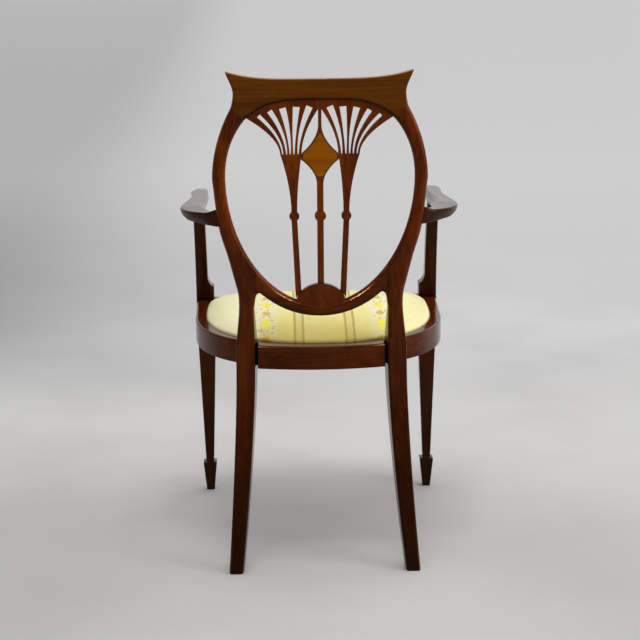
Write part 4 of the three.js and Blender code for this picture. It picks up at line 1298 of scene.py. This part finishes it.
full = cushion.modifiers.new("full", "SUBSURF")
full.levels = 1
full.render_levels = 1
apply_all(cushion)
cushion.data.materials.append(silk)
bpy.ops.object.shade_smooth_by_angle(angle=COVER_SHARP)
print("cushion top:", round(max(vertex.co.z for vertex in cushion.data.vertices) / MM, 1), "mm")
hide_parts("seat_cushion")
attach(cushion, "loose_seat")

# %% [markdown]
# ## The floor's paint
# The floor is one pale sheet that runs far past the picture, so nothing else is needed behind the
# chair. Light and shade are painted on it by the place on the sheet: painted light makes it a little
# brighter far away, and painted shade makes it duller beside the chair, in a band behind it and on
# the left. It is also a little darker towards the viewer and slightly mottled. Only the eye and
# mirrors see this paint. The light that bounces off the floor on to the chair sees a plain grey.

# %% Floor
# Each fade runs over metres on the sheet, from the first place to the second
FLOOR_SIZE = 90
FLOOR_NEAR = colour(205, 204, 203)
FLOOR_PALE = colour(216, 215, 214)
FLOOR_FAR = colour(244, 243, 244)
FLOOR_SHADE = colour(170, 169, 168)
BLACK = (0, 0, 0, 1)
BOUNCE = colour(140, 138, 136)
NEAR_FADE = (-0.9, 0.3)
FAR_LIGHT_FADE = (-1.7, -0.9, 1.0, 0.0)
# Painted shade: a band behind the chair, the left side, and beside the chair
SHADE_BAND_START = (-5.0, -1.8)
SHADE_BAND_END = (-1.5, -0.8, 1.0, 0.0)
SHADE_BAND_TURN = (-0.7, 0.9)
SHADE_BAND_TONES = (0.0, 1.0, 0.14, 0.27)
LEFT_SHADE_START = (-25.0, -4.0, 0.5, 1.0)
LEFT_SHADE_END = (-1.8, -1.0, 1.0, 0.0)
LEFT_SHADE_SIDE = (0.3, 1.2, 0.0, 0.28)
BESIDE_SHADE_ALONG = (-0.6, 0.35)
BESIDE_SHADE_ACROSS = (0.2, 0.55)
BESIDE_SHADE_TONE = 0.15
SPECK = (2.2, 5.0)
SPECK_FADE = (0.35, 0.7, 0.0, 0.22)
SPECK_REACH = (1.2, 3.5, 1.0, 0.0)


def floor_tones(tree, place):
    """The sheet's colour with its painted light and shade, from its place."""
    x, y, _ = add(tree, "SeparateXYZ", {0: place}).outputs
    paint = mixed(tree, span(tree, y, *NEAR_FADE), FLOOR_PALE, FLOOR_NEAR)
    # painted light: brighter far away
    paint = mixed(tree, span(tree, y, *FAR_LIGHT_FADE), paint, FLOOR_FAR)
    # painted shade in a band behind the chair, deepest on the left
    band = times(tree, span(tree, y, *SHADE_BAND_START), span(tree, y, *SHADE_BAND_END))
    band = times(tree, band, span(tree, span(tree, x, *SHADE_BAND_TURN), *SHADE_BAND_TONES))
    # painted shade on the left
    left_shade = times(tree, span(tree, y, *LEFT_SHADE_START), span(tree, y, *LEFT_SHADE_END))
    left_shade = times(tree, left_shade, span(tree, x, *LEFT_SHADE_SIDE))
    # painted shade beside the chair
    out = span(tree, maths(tree, "ABSOLUTE", x), *BESIDE_SHADE_ACROSS)
    beside = times(tree, times(tree, span(tree, y, *BESIDE_SHADE_ALONG), out), BESIDE_SHADE_TONE)
    painted_shade = maths(tree, "ADD", maths(tree, "ADD", band, left_shade), beside)
    return mixed(tree, painted_shade, paint, BLACK)


def floor_paint():
    material, tree, shader = finish_named("floor_paint")
    place = object_place(tree)
    paint = floor_tones(tree, place)
    length = add(tree, "VectorMath", {0: place}, operation="LENGTH").outputs["Value"]
    mottle = span(tree, noise(tree, place, *SPECK), *SPECK_FADE)
    paint = mixed(tree, times(tree, mottle, span(tree, length, *SPECK_REACH)), paint, FLOOR_SHADE)
    rays = add(tree, "LightPath").outputs
    seen = maths(tree, "MAXIMUM", rays["Is Camera Ray"], rays["Is Glossy Ray"])
    seen = maths(tree, "MAXIMUM", seen, rays["Is Transmission Ray"])
    tree.links.new(mixed(tree, seen, BOUNCE, paint), shader.inputs["Base Color"])
    fill_in(shader, {"Roughness": 0.9, "Specular IOR Level": 0.1})
    return material


bpy.ops.object.select_all(action="DESELECT")
bpy.ops.mesh.primitive_plane_add(size=FLOOR_SIZE)
floor = bpy.context.object
floor.name = "floor"
floor.data.materials.append(floor_paint())
print("floor:", FLOOR_SIZE, "m square")

# %% [markdown]
# ## The room
# The room is pale overhead and towards the window, and dark behind the viewer, which is why
# polished wood looks deep in colour where it faces the camera and pale where it faces the ceiling.
# The world's strength follows the direction. The camera itself sees one flat pale grey.

# %% Room light
ROOM_PALE = colour(208, 206, 205)
WHITE = (1, 1, 1, 1)
ROOM_LEVEL = 0.78
OVERHEAD = (-0.2, 0.9, 0.75, 1.0)
BEHIND = (-0.5, 0.9, 1.3, 0.4)
LIT_SIDE = (-0.9, 0.9, 1.3, 0.52)

world = bpy.data.worlds.new("room")
bpy.context.scene.world = world
world.use_nodes = True
room = world.node_tree
background = room.nodes["Background"]
x, y, z = add(room, "SeparateXYZ", {0: add(room, "TexCoord").outputs["Generated"]}).outputs
level = times(room, span(room, z, *OVERHEAD), span(room, y, *BEHIND))
level = times(room, times(room, level, span(room, x, *LIT_SIDE)), ROOM_LEVEL)
seen = add(room, "LightPath").outputs["Is Camera Ray"]
strength = add(room, "Mix", {0: seen, 2: level, 3: 1.0}, data_type="FLOAT").outputs[0]
room.links.new(mixed(room, seen, WHITE, ROOM_PALE), background.inputs["Color"])
room.links.new(strength, background.inputs["Strength"])
print("room level:", ROOM_LEVEL)

# %% [markdown]
# ## Lamps
# A soft box overhead and a window on the viewer's right light the chair. The others only shine:
# they show in the polish but cast no light of their own. A wide one stands for the pale ceiling
# that the tops of the arms mirror, and two small ones put the streaks on the arc of the oval.

# %% Lamps
def softbox(name, place, target, size, power, shine_only=False):
    lamp = bpy.data.lights.new(name, "AREA")
    lamp.shape = "RECTANGLE"
    lamp.size, lamp.size_y = size
    lamp.energy = power
    box = bpy.data.objects.new(name, lamp)
    box.location = place
    box.rotation_euler = (Vector(target) - Vector(place)).to_track_quat("-Z", "Y").to_euler()
    box.visible_diffuse = not shine_only
    bpy.context.collection.objects.link(box)
    print(name, "lamp:", power, "W")


CHAIR = (0, 0, 0.5)
SIDE_RAIL = (0, 0, 0.6)
FLOOR_BEHIND = (0, 1.8, 0)
ARC = (0, 0.2, 0.6)
softbox("overhead", (0.1, 0.5, 3.4), CHAIR, (1.2, 1.2), 30)
softbox("window", (-2.3, 1.0, 1.25), SIDE_RAIL, (1.2, 2.2), 20)
softbox("ceiling", (0, 1.8, 3.2), FLOOR_BEHIND, (5.0, 4.4), 90, shine_only=True)
softbox("shine_right", (-1.95, 2.6, 2.0), ARC, (0.8, 0.8), 110, shine_only=True)
softbox("shine_left", (1.95, 2.6, 2.0), ARC, (0.9, 0.9), 180, shine_only=True)

# %% [markdown]
# ## View transform
# The Standard view shows each colour about as it was written.

# %% View transform
bpy.context.scene.view_settings.view_transform = "Standard"
